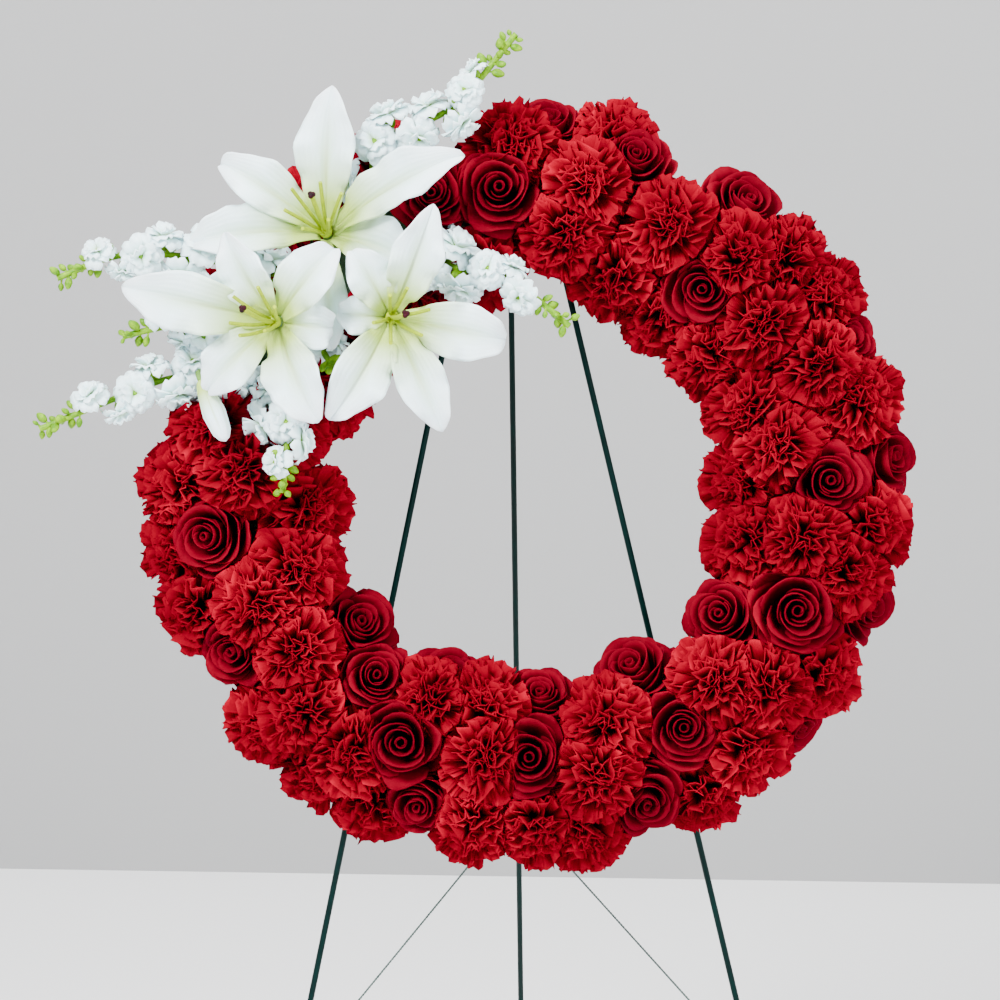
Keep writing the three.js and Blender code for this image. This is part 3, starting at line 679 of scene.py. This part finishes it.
clouds = noise(petal_skin, ends_in.outputs["Clouds"], 5.0)
drift = combined(petal_skin, "MULTIPLY", clouds, 3)
ribs = combined(petal_skin, "MULTIPLY", attribute(petal_skin, "side"), ends_in.outputs["Ribs"])
ribs = combined(petal_skin, "SINE", combined(petal_skin, "ADD", ribs, drift))
petal_skin.links.new(clouds, ends_out.inputs["Clouds"])
petal_skin.links.new(relief(petal_skin, combined(petal_skin, "ADD", ribs, drift),
                            ends_in.outputs["Strength"], ends_in.outputs["Depth"]),
                     ends_out.inputs["Normal"])


def petal_red(name, deep_shade, body, rim, ribs, **sockets):
    """Petal colour with painted shade and light: dark deep in a flower and at the petal bases, its
    own red between, lighter on the outermost rims.
    """
    material, tree, shader = bare_material(name, **sockets)
    skin = placed(tree, petal_skin, Ribs=ribs, Clouds=130, Strength=0.3, Depth=0.0005)
    # Inner petals and the bases of petals take the dark colour, painted shade where light falls
    # short deep in the flower.
    depth = combined(tree, "MULTIPLY", attribute(tree, "depth_shade"), 0.45)
    level = combined(tree, "ADD", attribute(tree, "rim"), depth)
    level = combined(tree, "ADD", level, combined(tree, "MULTIPLY", skin.outputs["Clouds"], 0.35))
    patches = mapped(tree, noise(tree, HEAD_PATCHES, 1.0), 0.36, 0.64, -0.24, 0.03)
    level = combined(tree, "ADD", level, patches)
    inner = blended(tree, mapped(tree, level, 0.72, 1.50, 0, 1), deep_shade, body)
    # The outermost petal rims take the lightest colour, a painted highlight where they catch the
    # light.
    colour = blended(tree, mapped(tree, level, 1.45, 1.62, 0, 1), inner, rim)
    tree.links.new(colour, shader.inputs["Base Color"])
    tree.links.new(skin.outputs["Normal"], shader.inputs["Normal"])
    return material


# The rose's colours: painted shade deep in the flower, its own red, and a painted highlight on the
# outer rims.
rose_red = petal_red("rose_red", (0.045, 0.0, 0.0026), (0.155, 0.0, 0.0085),
                     (0.22, 0.0, 0.010), 14, Roughness=0.6, Specular_IOR_Level=0.01)
rose_masters = [model_rose(seed) for seed in (3, 8, 21)]
chance = random.Random(5)
for i, bloom in enumerate(rose_seats):
    piece = planted(rose_masters[i % len(rose_masters)], bloom, chance.uniform(0, 6.28))
    piece.name = f"rose_{i + 1:02d}_petals"
    finish_as(piece, rose_red, "stand", "rose_petal", f"rose_{i + 1:02d}")

# A carnation is a crumpled dome of fringed petals, upright at its crown and spread at its
# skirt. Each row is petals, lean from the axis in degrees, length and width.
CARNATION_ROWS = [
    (5, 8, 0.55, 0.24), (8, 22, 0.57, 0.27), (10, 38, 0.60, 0.30), (11, 55, 0.61, 0.32),
    (11, 73, 0.60, 0.34), (8, 92, 0.56, 0.36),
]
CARNATION_BASE = -0.14
CARNATION_PETAL = 0.009


def carnation_petal(row, turn, chance):
    lean, length, width = row[1:]
    lean = math.radians(lean + chance.uniform(-12, 12))
    length *= chance.uniform(0.86, 1.04)
    waves = chance.uniform(1.8, 2.8)
    phase, second = chance.uniform(0, 6.28), chance.uniform(0, 6.28)
    twist, fold = chance.uniform(-0.9, 0.9), chance.uniform(-0.10, 0.10)
    rng = np.random.default_rng(chance.randrange(10 ** 6))

    def shape(across, up):
        up = 1 - (1 - up) ** 1.4
        fan = np.interp(up, [0, 0.35, 0.7, 1], [0.10, 0.34, 0.84, 1]) * width / 2
        fringe = np.where(up > 0.99, rng.uniform(-0.08, 0.02, len(up)), 0) * (1 - 0.4 * lean)
        far = up * length * (1 - 0.12 * across ** 2 * up) + fringe * length
        opening = lean * (0.5 + 0.5 * up)
        ruffle = (np.sin(waves * math.pi * across + phase) * 0.058
                  + np.sin(2.1 * waves * math.pi * across + second) * 0.030) * up ** 1.6
        sideways = across * fan + 0.03 * np.sin(3 * waves * across + second) * up ** 2
        ruffle = ruffle + twist * sideways * up + fold * across ** 2 * up
        radial = far * np.sin(opening) + ruffle * np.cos(opening)
        level = CARNATION_BASE + far * np.cos(opening) - ruffle * np.sin(opening)
        return turned(radial, sideways, level, turn)

    return shape


def model_carnation(seed):
    chance = random.Random(seed)
    petals = []
    for depth, row in enumerate(CARNATION_ROWS):
        start = chance.uniform(0, 6.28)
        for i in range(row[0]):
            turn = start + 2 * math.pi * (i + chance.uniform(-0.35, 0.35)) / row[0]
            piece = petal(12, 2, CARNATION_PETAL, carnation_petal(row, turn, chance))
            # Crown petals get more painted shade than the skirt, with some random spread between
            # petals.
            petals.append(depth_shade(piece, 0.3 + 0.5 * depth / (len(CARNATION_ROWS) - 1)
                               + chance.uniform(0, 0.35)))
    return joined("carnation_master", petals)


# The carnation's colours: painted shade in its folds and depths, its own red, and a painted
# highlight on the outer rims.
carnation_red = petal_red("carnation_red", (0.065, 0.0, 0.003), (0.20, 0.0, 0.0085),
                          (0.33, 0.0, 0.015), 30, Roughness=0.7, Specular_IOR_Level=0.0)
carnation_masters = [model_carnation(seed) for seed in (2, 11, 17, 30)]
for i, places in enumerate(carnation_seats):
    heads = [planted(carnation_masters[(i + k) % len(carnation_masters)], bloom,
                     chance.uniform(0, 6.28)) for k, bloom in enumerate(places)]
    cluster = joined(f"carnations_{i + 1:02d}_petals", heads)
    finish_as(cluster, carnation_red, "stand", "carnation_petal", f"carnations_{i + 1:02d}")

# The lilies have six recurved petals with a raised midrib and waved edges. They are white, with
# a green nectar line down the middle, and open on stout green stalks that stand in the foam.
LILIES = [
    ("lily_top", (-125, 158, 98), (-0.10, 0.26, 1), (-0.2, 0.6, 1), (-122, 147),
     [(85, 90, 44, 84, 42), (22, 104, 38, 92, 44), (338, 60, 42, 122, 60),
      (272, 74, 30, 134, 74), (181, 86, 40, 112, 56), (145, 82, 36, 100, 46)]),
    ("lily_left", (-157, 98, 122), (-0.22, -0.10, 1), (-0.6, 0.35, 1), (-152, 100),
     [(163, 98, 44, 92, 44), (114, 64, 36, 92, 38), (48, 62, 40, 128, 46),
      (352, 38, 32, 165, 50), (296, 70, 42, 104, 46), (224, 62, 38, 108, 46)]),
    ("lily_right", (-82, 100, 114), (0.16, -0.12, 1), (0.3, 0, 1), (-104, 132),
     [(72, 77, 38, 92, 42), (347, 75, 42, 108, 48), (289, 78, 36, 104, 46),
      (239, 76, 42, 108, 46), (176, 34, 28, 150, 40), (120, 50, 34, 116, 42)]),
]
THROAT_DEPTH = 12
TEPAL_START = 4.5
TEPAL_CHANNEL = 0.22
TEPAL_SLIM = 0.9
TEPAL_HOOK = math.radians(50)
TEPAL_SHARES = [0, 0.14, 0.3, 0.5, 0.68, 0.84, 1]
TEPAL_BREADTHS = [0.22, 0.40, 0.70, 0.96, 0.94, 0.66, 0.05]
TEPAL_THICKNESS = 0.0007
LILY_STALK = 0.0032
STALK_BEND = 0.006


def unit(vector):
    vector = np.asarray(vector, float)
    return vector / np.linalg.norm(vector)


def square_to(vector, axis):
    vector = np.asarray(vector, float)
    return unit(vector - axis * (vector @ axis))


def tepal(base, axis, sizes, chance):
    turn, length, width, end, begin = sizes
    across_axis = square_to((1, 0, 0), axis)
    turn = math.radians(turn)
    out = across_axis * math.cos(turn) + np.cross(axis, across_axis) * math.sin(turn)
    side = np.cross(axis, out)
    fine = np.linspace(0, 1, 201)
    hook = TEPAL_HOOK * chance.uniform(0.2, 1.2)
    lean = math.radians(begin) + math.radians(end - begin) * fine + hook * fine ** 9
    climb = np.concatenate([[0], np.cumsum((np.cos(lean[1:]) + np.cos(lean[:-1])) / 400)])
    reach_out = np.concatenate([[0], np.cumsum((np.sin(lean[1:]) + np.sin(lean[:-1])) / 400)])
    breadth = np.interp(fine, TEPAL_SHARES, TEPAL_BREADTHS) * TEPAL_SLIM
    padded = np.concatenate([np.full(20, breadth[0]), breadth, np.zeros(20)])
    breadth = np.convolve(padded, np.ones(41) / 41, mode="valid")
    breadth = np.minimum(breadth, 1.8 * np.maximum(0, 1 - fine) ** 0.75 + 0.02)
    waves, phases = chance.uniform(2.2, 3.2), (chance.uniform(0, 6.28), chance.uniform(0, 6.28))
    sway, twist = chance.uniform(-0.05, 0.05), chance.uniform(-0.35, 0.35)

    def shape(across, up):
        angle = np.interp(up, fine, lean)
        middle = (base + out * TEPAL_START
                  + np.outer(np.interp(up, fine, climb), axis) * length
                  + np.outer(np.interp(up, fine, reach_out), out) * length)
        normal = np.outer(np.sin(angle), axis) - np.outer(np.cos(angle), out)
        half = np.interp(up, fine, breadth) * width / 2
        edge = np.abs(across)
        phase = np.where(across > 0, phases[0], phases[1])
        wave = ((np.sin(2 * math.pi * waves * up + phase)
                 + 0.4 * np.sin(4.6 * math.pi * waves * up + 2 * phase))
                * edge ** 2.5 * np.sin(math.pi * up) ** 0.7)
        groove = -0.05 * width * np.exp(-(across / 0.12) ** 2) * np.sin(math.pi * up) ** 0.5
        plump = 0.05 * width * np.sin(math.pi * edge) * np.sin(math.pi * up)
        lift = (half * 2 * TEPAL_CHANNEL * edge ** 1.4 + 0.10 * width * wave + groove + plump
                + twist * across * half * up ** 1.5)
        sideways = across * half + sway * length * up ** 2
        return in_world(middle + np.outer(sideways, side) + normal * lift[:, None])

    return petal(14, 30, TEPAL_THICKNESS, shape)


def white_petal(name, green_line, throat_green, tip_shade, **sockets):
    """White petal: green down its middle and at its base, with a painted pinkish shade towards its
    tip and edges.
    """
    material, tree, shader = bare_material(
        name, Roughness=0.5, Specular_IOR_Level=0.3, Subsurface_Weight=0.3,
        Subsurface_Radius=(1, 1, 0.8), Subsurface_Scale=0.003)
    skin = placed(tree, petal_skin, **sockets)
    up, off = attribute(tree, "rim"), combined(tree, "ABSOLUTE", attribute(tree, "side"))
    line = combined(tree, "MULTIPLY", mapped(tree, off, 0.04, 0.50, green_line, 0),
                    mapped(tree, up, 0.30, 0.90, 1, 0))
    green = combined(tree, "MAXIMUM", line, mapped(tree, up, 0.20, 0.62, throat_green, 0))
    # Tips and edges are tinted pinkish-lilac, painted shade on the white.
    tip = combined(tree, "MULTIPLY", mapped(tree, up, 0.62, 1, 0, tip_shade),
                   mapped(tree, off, 0.1, 1, 0.5, 1))
    ivory = blended(tree, skin.outputs["Clouds"], (0.68, 0.90, 0.95), (0.78, 0.98, 1.0))
    shaded_tips = blended(tree, tip, ivory, (0.84, 0.68, 0.76))
    tree.links.new(blended(tree, green, shaded_tips, (0.34, 0.46, 0.0)), shader.inputs["Base Color"])
    tree.links.new(skin.outputs["Normal"], shader.inputs["Normal"])
    return material


def fresh_green(name, dark, light, scale):
    """Living stem or bud: mottled green with a soft waxy shine."""
    return mottled(name, dark, light, (0.35, 0.6), 3 * scale, scale, 0.2, 0.0003,
                   Specular_IOR_Level=0.15)


# The lily's white takes its strongest painted shade at the tips.
lily_white = white_petal("lily_white", 0.8, 0.9, 0.4,
                         Ribs=34, Clouds=55, Strength=0.2, Depth=0.0004)
stalk_green = fresh_green("stalk_green", (0.05, 0.13, 0.02), (0.16, 0.30, 0.05), 160)
chance = random.Random(14)
lily_heads = []
for name, throat, faces, bundle, root, tepals in LILIES:
    axis = unit(faces)
    base = np.array(throat) - axis * THROAT_DEPTH
    sheets = [tepal(base, axis, sizes, chance) for sizes in tepals]
    head = joined(name + "_petals", sheets)
    finish_as(head, lily_white, "stand", "lily_petal", name)
    stalk_line = [base + axis * 2, base - axis * 5, np.array((*root, FOAM_TOP + 4)),
                  np.array((*root, FOAM_TOP - 11))]
    stalk = wire(name + "_stalk", rounded(in_world(stalk_line), STALK_BEND), LILY_STALK)
    finish_as(stalk, stalk_green, "stand", "lily_petal")
    lily_heads.append((name, base, axis, unit(bundle)))

# Each lily keeps its style and its filaments, with the pollen taken off as florists do. They
# are bright yellow-green, bend up together, and the style ends in a dark three-lobed stigma.
FILAMENTS = 6
FILAMENT_LENGTH = 42
FILAMENT_SPREAD = 20
FILAMENT_RADIUS = 0.0012
STYLE_LENGTH = 46
STYLE_RADIUS = 0.0016
OVARY_RADIUS = 0.0042
LOBE_RADIUS = 0.0017
LOBE_ASIDE = 1.05


def bent_thread(root, start_way, end_way, length, steps=10):
    points = [root]
    for step in range(steps):
        way = unit(start_way * (1 - step / steps) + end_way * (step / steps))
        points.append(points[-1] + way * length / steps)
    return points


filament_green = fresh_green("filament_green", (0.22, 0.31, 0.0), (0.36, 0.44, 0.0), 220)
stigma_dark = mottled("stigma_dark", (0.006, 0.001, 0.002), (0.04, 0.001, 0.006), (0.4, 0.7),
                      900, 300, 0.3, 0.0003, Specular_IOR_Level=0.1)
for name, base, axis, bundle in lily_heads:
    knob = base + axis * 4
    across_axis = square_to((1, 0.2, 0), bundle)
    over = np.cross(bundle, across_axis)
    threads = []
    for i in range(FILAMENTS):
        turn = 2 * math.pi * i / FILAMENTS + chance.uniform(-0.2, 0.2)
        spread = math.radians(FILAMENT_SPREAD * chance.uniform(0.6, 1.15))
        out = across_axis * math.cos(turn) + over * math.sin(turn)
        end_way = bundle * math.cos(spread * 1.5) + out * math.sin(spread * 1.5)
        points = bent_thread(knob + out * 2, unit(axis + out * 0.3), end_way,
                             FILAMENT_LENGTH * chance.uniform(0.85, 1.05))
        threads.append(wire("filament", in_world(points), FILAMENT_RADIUS, 8))
    style = bent_thread(knob, axis, unit(bundle + over * 0.08), STYLE_LENGTH)
    threads.append(wire("style", in_world(style), STYLE_RADIUS, 8))
    bpy.ops.mesh.primitive_uv_sphere_add(segments=16, ring_count=10, radius=OVARY_RADIUS,
                                         location=in_world(knob))
    threads.append(bpy.context.object)
    bpy.ops.object.transform_apply(location=True)
    cluster = joined(name + "_filaments", threads)
    finish_as(cluster, filament_green, "stand", "lily_stamen", name + "_stamens")
    lobes = []
    for i in range(3):
        turn = 2 * math.pi * i / 3
        place = style[-1] + (across_axis * math.cos(turn) + over * math.sin(turn)) * LOBE_ASIDE
        bpy.ops.mesh.primitive_uv_sphere_add(segments=12, ring_count=8, radius=LOBE_RADIUS,
                                             location=in_world(place))
        lobes.append(bpy.context.object)
        bpy.ops.object.transform_apply(location=True)
    stigma = joined(name + "_stigma", lobes)
    bpy.ops.object.shade_smooth()
    finish_as(stigma, stigma_dark, "stand", "lily_stamen")

# One lily is still a bud: a long white pod of three closed petals that hangs on its stalk.
BUD_BASE = np.array((-203, 66, 98.0))
BUD_TIP = np.array((-187, 26, 103.0))
BUD_WIDTH = 15
BUD_STALK = 0.002
BUD_SHARES = [0, 0.08, 0.2, 0.55, 0.85, 0.96, 1]
BUD_GIRTHS = [0, 0.24, 0.34, 0.5, 0.4, 0.22, 0]
BUD_ROOT = (-176, 62)
bpy.ops.mesh.primitive_uv_sphere_add(segments=36, ring_count=24, radius=1)
bud = bpy.context.object
round_places = corners(bud)
share = (1 - round_places[:, 2]) / 2
ring_turn = np.arctan2(round_places[:, 1], round_places[:, 0])
girth = np.interp(share, BUD_SHARES, BUD_GIRTHS)
girth = girth * (1 - 0.09 * np.cos(3 * ring_turn) ** 8)
way = unit(BUD_TIP - BUD_BASE)
across_axis = square_to((0, 0, 1), way)
over = np.cross(way, across_axis)
places = (BUD_BASE + np.outer(share, BUD_TIP - BUD_BASE)
          + np.outer(girth * np.cos(ring_turn), across_axis) * BUD_WIDTH
          + np.outer(girth * np.sin(ring_turn), over) * BUD_WIDTH)
move_corners(bud, in_world(places))
marked(marked(bud, "rim", share), "side", np.sin(3 * ring_turn))
faced_outward(bud)
bpy.ops.object.shade_smooth()
bud.name = "lily_bud_pod"
finish_as(bud, lily_white, "stand", "lily_petal", "lily_bud")
bud_line = [BUD_BASE + way * 3, BUD_BASE - way * 4, np.array((*BUD_ROOT, FOAM_TOP + 8)),
            np.array((*BUD_ROOT, FOAM_TOP - 9))]
bud_stalk = wire("lily_bud_stalk", rounded(in_world(bud_line), STALK_BEND), BUD_STALK)
finish_as(bud_stalk, stalk_green, "stand", "lily_petal")

# The stocks are tall spikes: ruffled double florets down a pale green stem, each in a small
# green cup, and tight lime-green buds to the tip.
STOCKS = [
    [(-88, 168, 33), (-92, 176, 58), (-92, 208, 82), (-44, 232, 92), (-4, 276, 96)],
    [(-146, 120, 33), (-152, 124, 58), (-190, 139, 70), (-252, 144, 80), (-292, 130, 84)],
    [(-163, 66, 33), (-172, 68, 58), (-218, 68, 76), (-264, 52, 82), (-304, 36, 86)],
    [(-66, 160, 33), (-62, 150, 62), (-50, 135, 84), (-9, 122, 95), (26, 94, 100)],
    [(-162, 48, 33), (-160, 46, 62), (-154, 44, 88), (-150, 22, 98), (-153, -6, 96)],
    [(-172, 84, 33), (-180, 86, 58), (-214, 100, 74), (-236, 97, 80), (-252, 93, 82)],
    [(-136, 92, 33), (-133, 89, 56), (-127, 81, 73), (-120, 70, 84)],
]
FLORET_SIZE, FLORETS_FROM, FLORETS_TO, FLORET_EACH, FLORET_ASIDE = 36, 0.24, 0.84, 13, 0.54
# Which way florets stand from the stem, in turn: across it, and towards the viewer.
FLORET_WAYS = [(1, 0.35), (-1, 0.35), (0.25, 1), (0.9, 0.1), (-0.8, 0.8)]
TIP_BUD_SIZE, TIP_BUD_EACH, TIP_BUD_ASIDE = 7.5, 5, 6
GOLDEN_TURN = 137.5
FLORET_SHRINK = TIP_BUD_SHRINK = 0.35
CUP_SIZE, CUP_BELOW = 0.34, 0.26
SIDE_BUD_SIZE, SIDE_BUD_ASIDE = 10, 8
STOCK_STEM = 0.002
FLORET_STALK = 0.0012
TIP_BUD_STALK = 0.0007
# Each row of a floret is petals, lean from its axis in degrees, length and width.
FLORET_ROWS = [(5, 98, 0.54, 0.56), (4, 66, 0.50, 0.52), (3, 32, 0.44, 0.44)]
FLORET_BASE = -0.22
FLORET_PETAL = 0.020


def stem_curve(knots, steps=60):
    """A smooth line through its knots, in even steps."""
    knots = [np.array(knot, float) for knot in knots]
    knots = [2 * knots[0] - knots[1], *knots, 2 * knots[-1] - knots[-2]]
    line = []
    for before, start, end, after in zip(knots, knots[1:], knots[2:], knots[3:]):
        gaps = [max(np.linalg.norm(b - a) ** 0.5, 1e-4)
                for a, b in ((before, start), (start, end), (end, after))]
        leave = ((start - before) / gaps[0] - (end - before) / (gaps[0] + gaps[1])
                 + (end - start) / gaps[1]) * gaps[1]
        arrive = ((end - start) / gaps[1] - (after - start) / (gaps[1] + gaps[2])
                  + (after - end) / gaps[2]) * gaps[1]
        for t in np.linspace(0, 1, 40, endpoint=False):
            line.append(start + leave * t + (-3 * start + 3 * end - 2 * leave - arrive) * t ** 2
                        + (2 * start - 2 * end + leave + arrive) * t ** 3)
    line = np.array(line + [knots[-2]])
    run = np.concatenate([[0], np.cumsum(np.linalg.norm(np.diff(line, axis=0), axis=1))])
    even = np.linspace(0, run[-1], steps + 1)
    return np.column_stack([np.interp(even, run, line[:, i]) for i in range(3)]), run[-1]


def along_stem(line, share):
    at = share * (len(line) - 1)
    low = min(int(at), len(line) - 2)
    return line[low] + (line[low + 1] - line[low]) * (at - low), unit(line[low + 1] - line[low])


def floret_petal(row, turn, chance):
    lean, length, width = row[1:]
    lean = math.radians(lean + chance.uniform(-9, 9))
    length *= chance.uniform(0.9, 1.06)
    phase, dent = chance.uniform(0, 6.28), chance.uniform(0.02, 0.07)
    twist = chance.uniform(-0.4, 0.4)

    def shape(across, up):
        fan = np.interp(up, [0, 0.3, 0.65, 0.85, 1], [0.12, 0.4, 0.95, 1, 0.72]) * width / 2
        far = up * length * (1 - 0.10 * across ** 2 * up)
        far = far - dent * np.exp(-(across / 0.3) ** 2) * up ** 6
        opening = lean * (0.4 + 0.6 * up ** 0.8)
        ruffle = (np.sin(2.2 * math.pi * across + phase) * 0.05
                  + np.sin(4.1 * math.pi * across + 2.3 * phase) * 0.02) * up ** 2
        sideways = across * fan
        ruffle = ruffle + twist * sideways * up
        radial = far * np.sin(opening) + ruffle * np.cos(opening)
        level = FLORET_BASE + far * np.cos(opening) - ruffle * np.sin(opening)
        return turned(radial, sideways, level, turn)

    return shape


def model_floret(seed):
    chance = random.Random(seed)
    petals = []
    for row in FLORET_ROWS:
        start = chance.uniform(0, 6.28)
        for i in range(row[0]):
            turn = start + 2 * math.pi * (i + chance.uniform(-0.12, 0.12)) / row[0]
            petals.append(petal(6, 4, FLORET_PETAL, floret_petal(row, turn, chance)))
    return joined("floret_master", petals)


def set_on(piece, middle, axis, size, turn):
    """A modelled flower or bud, moved to its place and way on a stem."""
    across_axis = square_to((1, 0.3, 0.2), axis)
    over = np.cross(axis, across_axis)
    spun = turned(*(corners(piece) * size).T, turn)
    move_corners(piece, in_world(middle + spun @ np.array([across_axis, over, axis])))
    return piece


def model_bud():
    """A small pointed bud with four ridges, one across its length."""
    bpy.ops.mesh.primitive_uv_sphere_add(segments=12, ring_count=8, radius=0.5)
    piece = bpy.context.object
    places = corners(piece)
    turn = np.arctan2(places[:, 1], places[:, 0])
    girth = np.hypot(places[:, 0], places[:, 1]) * (0.72 + 0.06 * np.cos(4 * turn))
    girth = girth * np.where(places[:, 2] > 0, 1 - 0.5 * places[:, 2], 1)
    move_corners(piece, np.column_stack([girth * np.cos(turn), girth * np.sin(turn),
                                         places[:, 2] * 1.15]))
    bpy.ops.object.shade_smooth()
    return piece


stock_white = white_petal("stock_white", 0.1, 0.6, 0.1,
                          Ribs=12, Clouds=140, Strength=0.1, Depth=0.0004)
lime = fresh_green("bud_lime", (0.05, 0.17, 0.0), (0.24, 0.42, 0.0), 260)
floret_masters = [model_floret(seed) for seed in (4, 9, 15)]
bud_master = model_bud()
for i, knots in enumerate(STOCKS):
    line, length = stem_curve(knots)
    stem = wire("stem", in_world(line), STOCK_STEM, 10)
    greens, whites = [stem], []
    at = FLORETS_FROM * length
    while at < FLORETS_TO * length:
        middle, along = along_stem(line, at / length)
        across_way, viewer_way = FLORET_WAYS[(len(whites) + i) % len(FLORET_WAYS)]
        axis = unit(unit(np.cross((0, 0, 1), along)) * across_way
                    + np.array((0, 0, 1)) * viewer_way)
        share = (at / length - FLORETS_FROM) / (FLORETS_TO - FLORETS_FROM)
        size = FLORET_SIZE * (1 - FLORET_SHRINK * share) * chance.uniform(0.85, 1.05)
        floret = copy_of(floret_masters[len(whites) % len(floret_masters)])
        aside = FLORET_ASIDE * chance.uniform(0.85, 1.15) * size
        whites.append(set_on(floret, middle + axis * aside, axis, size, chance.uniform(0, 6.28)))
        cup = middle + axis * (aside - CUP_BELOW * size)
        greens.append(set_on(copy_of(bud_master), cup, axis, size * CUP_SIZE, 0))
        greens.append(wire("stalk", in_world([middle, cup]), FLORET_STALK, 6))
        beside = unit(axis - along * chance.uniform(0.6, 1.2))
        greens.append(set_on(copy_of(bud_master), middle + beside * SIDE_BUD_ASIDE, beside,
                             SIDE_BUD_SIZE, 0))
        at += FLORET_EACH
    bud_count = 0
    at = FLORETS_TO * length
    while at < length:
        share = min(1, at / length)
        middle, along = along_stem(line, share)
        for extra in (0, 180):
            turn = math.radians(GOLDEN_TURN * bud_count + extra)
            axis = unit(unit(np.cross((0, 0, 1), along)) * math.cos(turn)
                        + np.array((0, 0, 1)) * math.sin(turn) + along * 0.5)
            far = (at / length - FLORETS_TO) / (1 - FLORETS_TO)
            size = TIP_BUD_SIZE * (1.15 - TIP_BUD_SHRINK * far) * chance.uniform(0.6, 1.1)
            place = middle + axis * TIP_BUD_ASIDE * chance.uniform(0.8, 1.3)
            greens.append(set_on(copy_of(bud_master), place, axis, size, 0))
            greens.append(wire("stalk", in_world([middle, place]), TIP_BUD_STALK, 6))
        bud_count += 1
        at += TIP_BUD_EACH
    spike = joined(f"stock_{i + 1:02d}_florets", whites)
    finish_as(spike, stock_white, "stand", "stock_petal", f"stock_{i + 1:02d}")
    shoots = joined(f"stock_{i + 1:02d}_buds", greens)
    finish_as(shoots, lime, "stand", "stock_petal")

for master in rose_masters + carnation_masters + floret_masters + [bud_master]:
    bpy.data.objects.remove(master)

# The room: a plain pale floor and wall, and soft studio light from above and both sides.
FLOOR = 6.0
WALL_AWAY = 1.358
WALL_TURN = math.radians(-6.7)
bpy.ops.mesh.primitive_plane_add(size=FLOOR, location=(0, 0, 0))
floor = bpy.context.object
floor.name = "floor"
bpy.ops.mesh.primitive_plane_add(size=FLOOR, location=(0, WALL_AWAY, FLOOR / 2),
                                 rotation=(math.pi / 2, 0, WALL_TURN))
wall = bpy.context.object
wall.name = "backdrop"
for sheet, shade in ((floor, 0.84), (wall, 0.30)):
    paint, tree, shader = bare_material(sheet.name + "_paint", Roughness=0.9,
                                        Base_Color=(shade, shade, shade, 1))
    sheet.data.materials.append(paint)
# The wall is seen from the room alone, so that the wreath can be looked at from behind too.
clear = tree.nodes.new("ShaderNodeBsdfTransparent")
sides = tree.nodes.new("ShaderNodeMixShader")
tree.links.new(tree.nodes.new("ShaderNodeNewGeometry").outputs["Backfacing"], sides.inputs[0])
tree.links.new(shader.outputs["BSDF"], sides.inputs[1])
tree.links.new(clear.outputs["BSDF"], sides.inputs[2])
tree.links.new(sides.outputs["Shader"], tree.nodes["Material Output"].inputs["Surface"])


def softbox(name, place, size, power):
    lamp = bpy.data.lights.new(name, "AREA")
    lamp.shape = "SQUARE"
    lamp.size = size
    lamp.energy = power
    piece = bpy.data.objects.new(name, lamp)
    scene.collection.objects.link(piece)
    piece.location = place
    aimed = Vector(ring_middle) - Vector(place)
    piece.rotation_euler = aimed.to_track_quat("-Z", "Y").to_euler()


softbox("key", (-1.3, -2.2, 2.4), 0.9, 270)
softbox("fill", (1.8, -2.0, 1.2), 1.6, 105)
softbox("top", (0.2, -0.2, 2.8), 1.4, 95)
world = bpy.data.worlds.new("room")
world.use_nodes = True
world.node_tree.nodes["Background"].inputs["Color"].default_value = (0.9, 0.93, 1.0, 1)
world.node_tree.nodes["Background"].inputs["Strength"].default_value = 0.7
scene.world = world
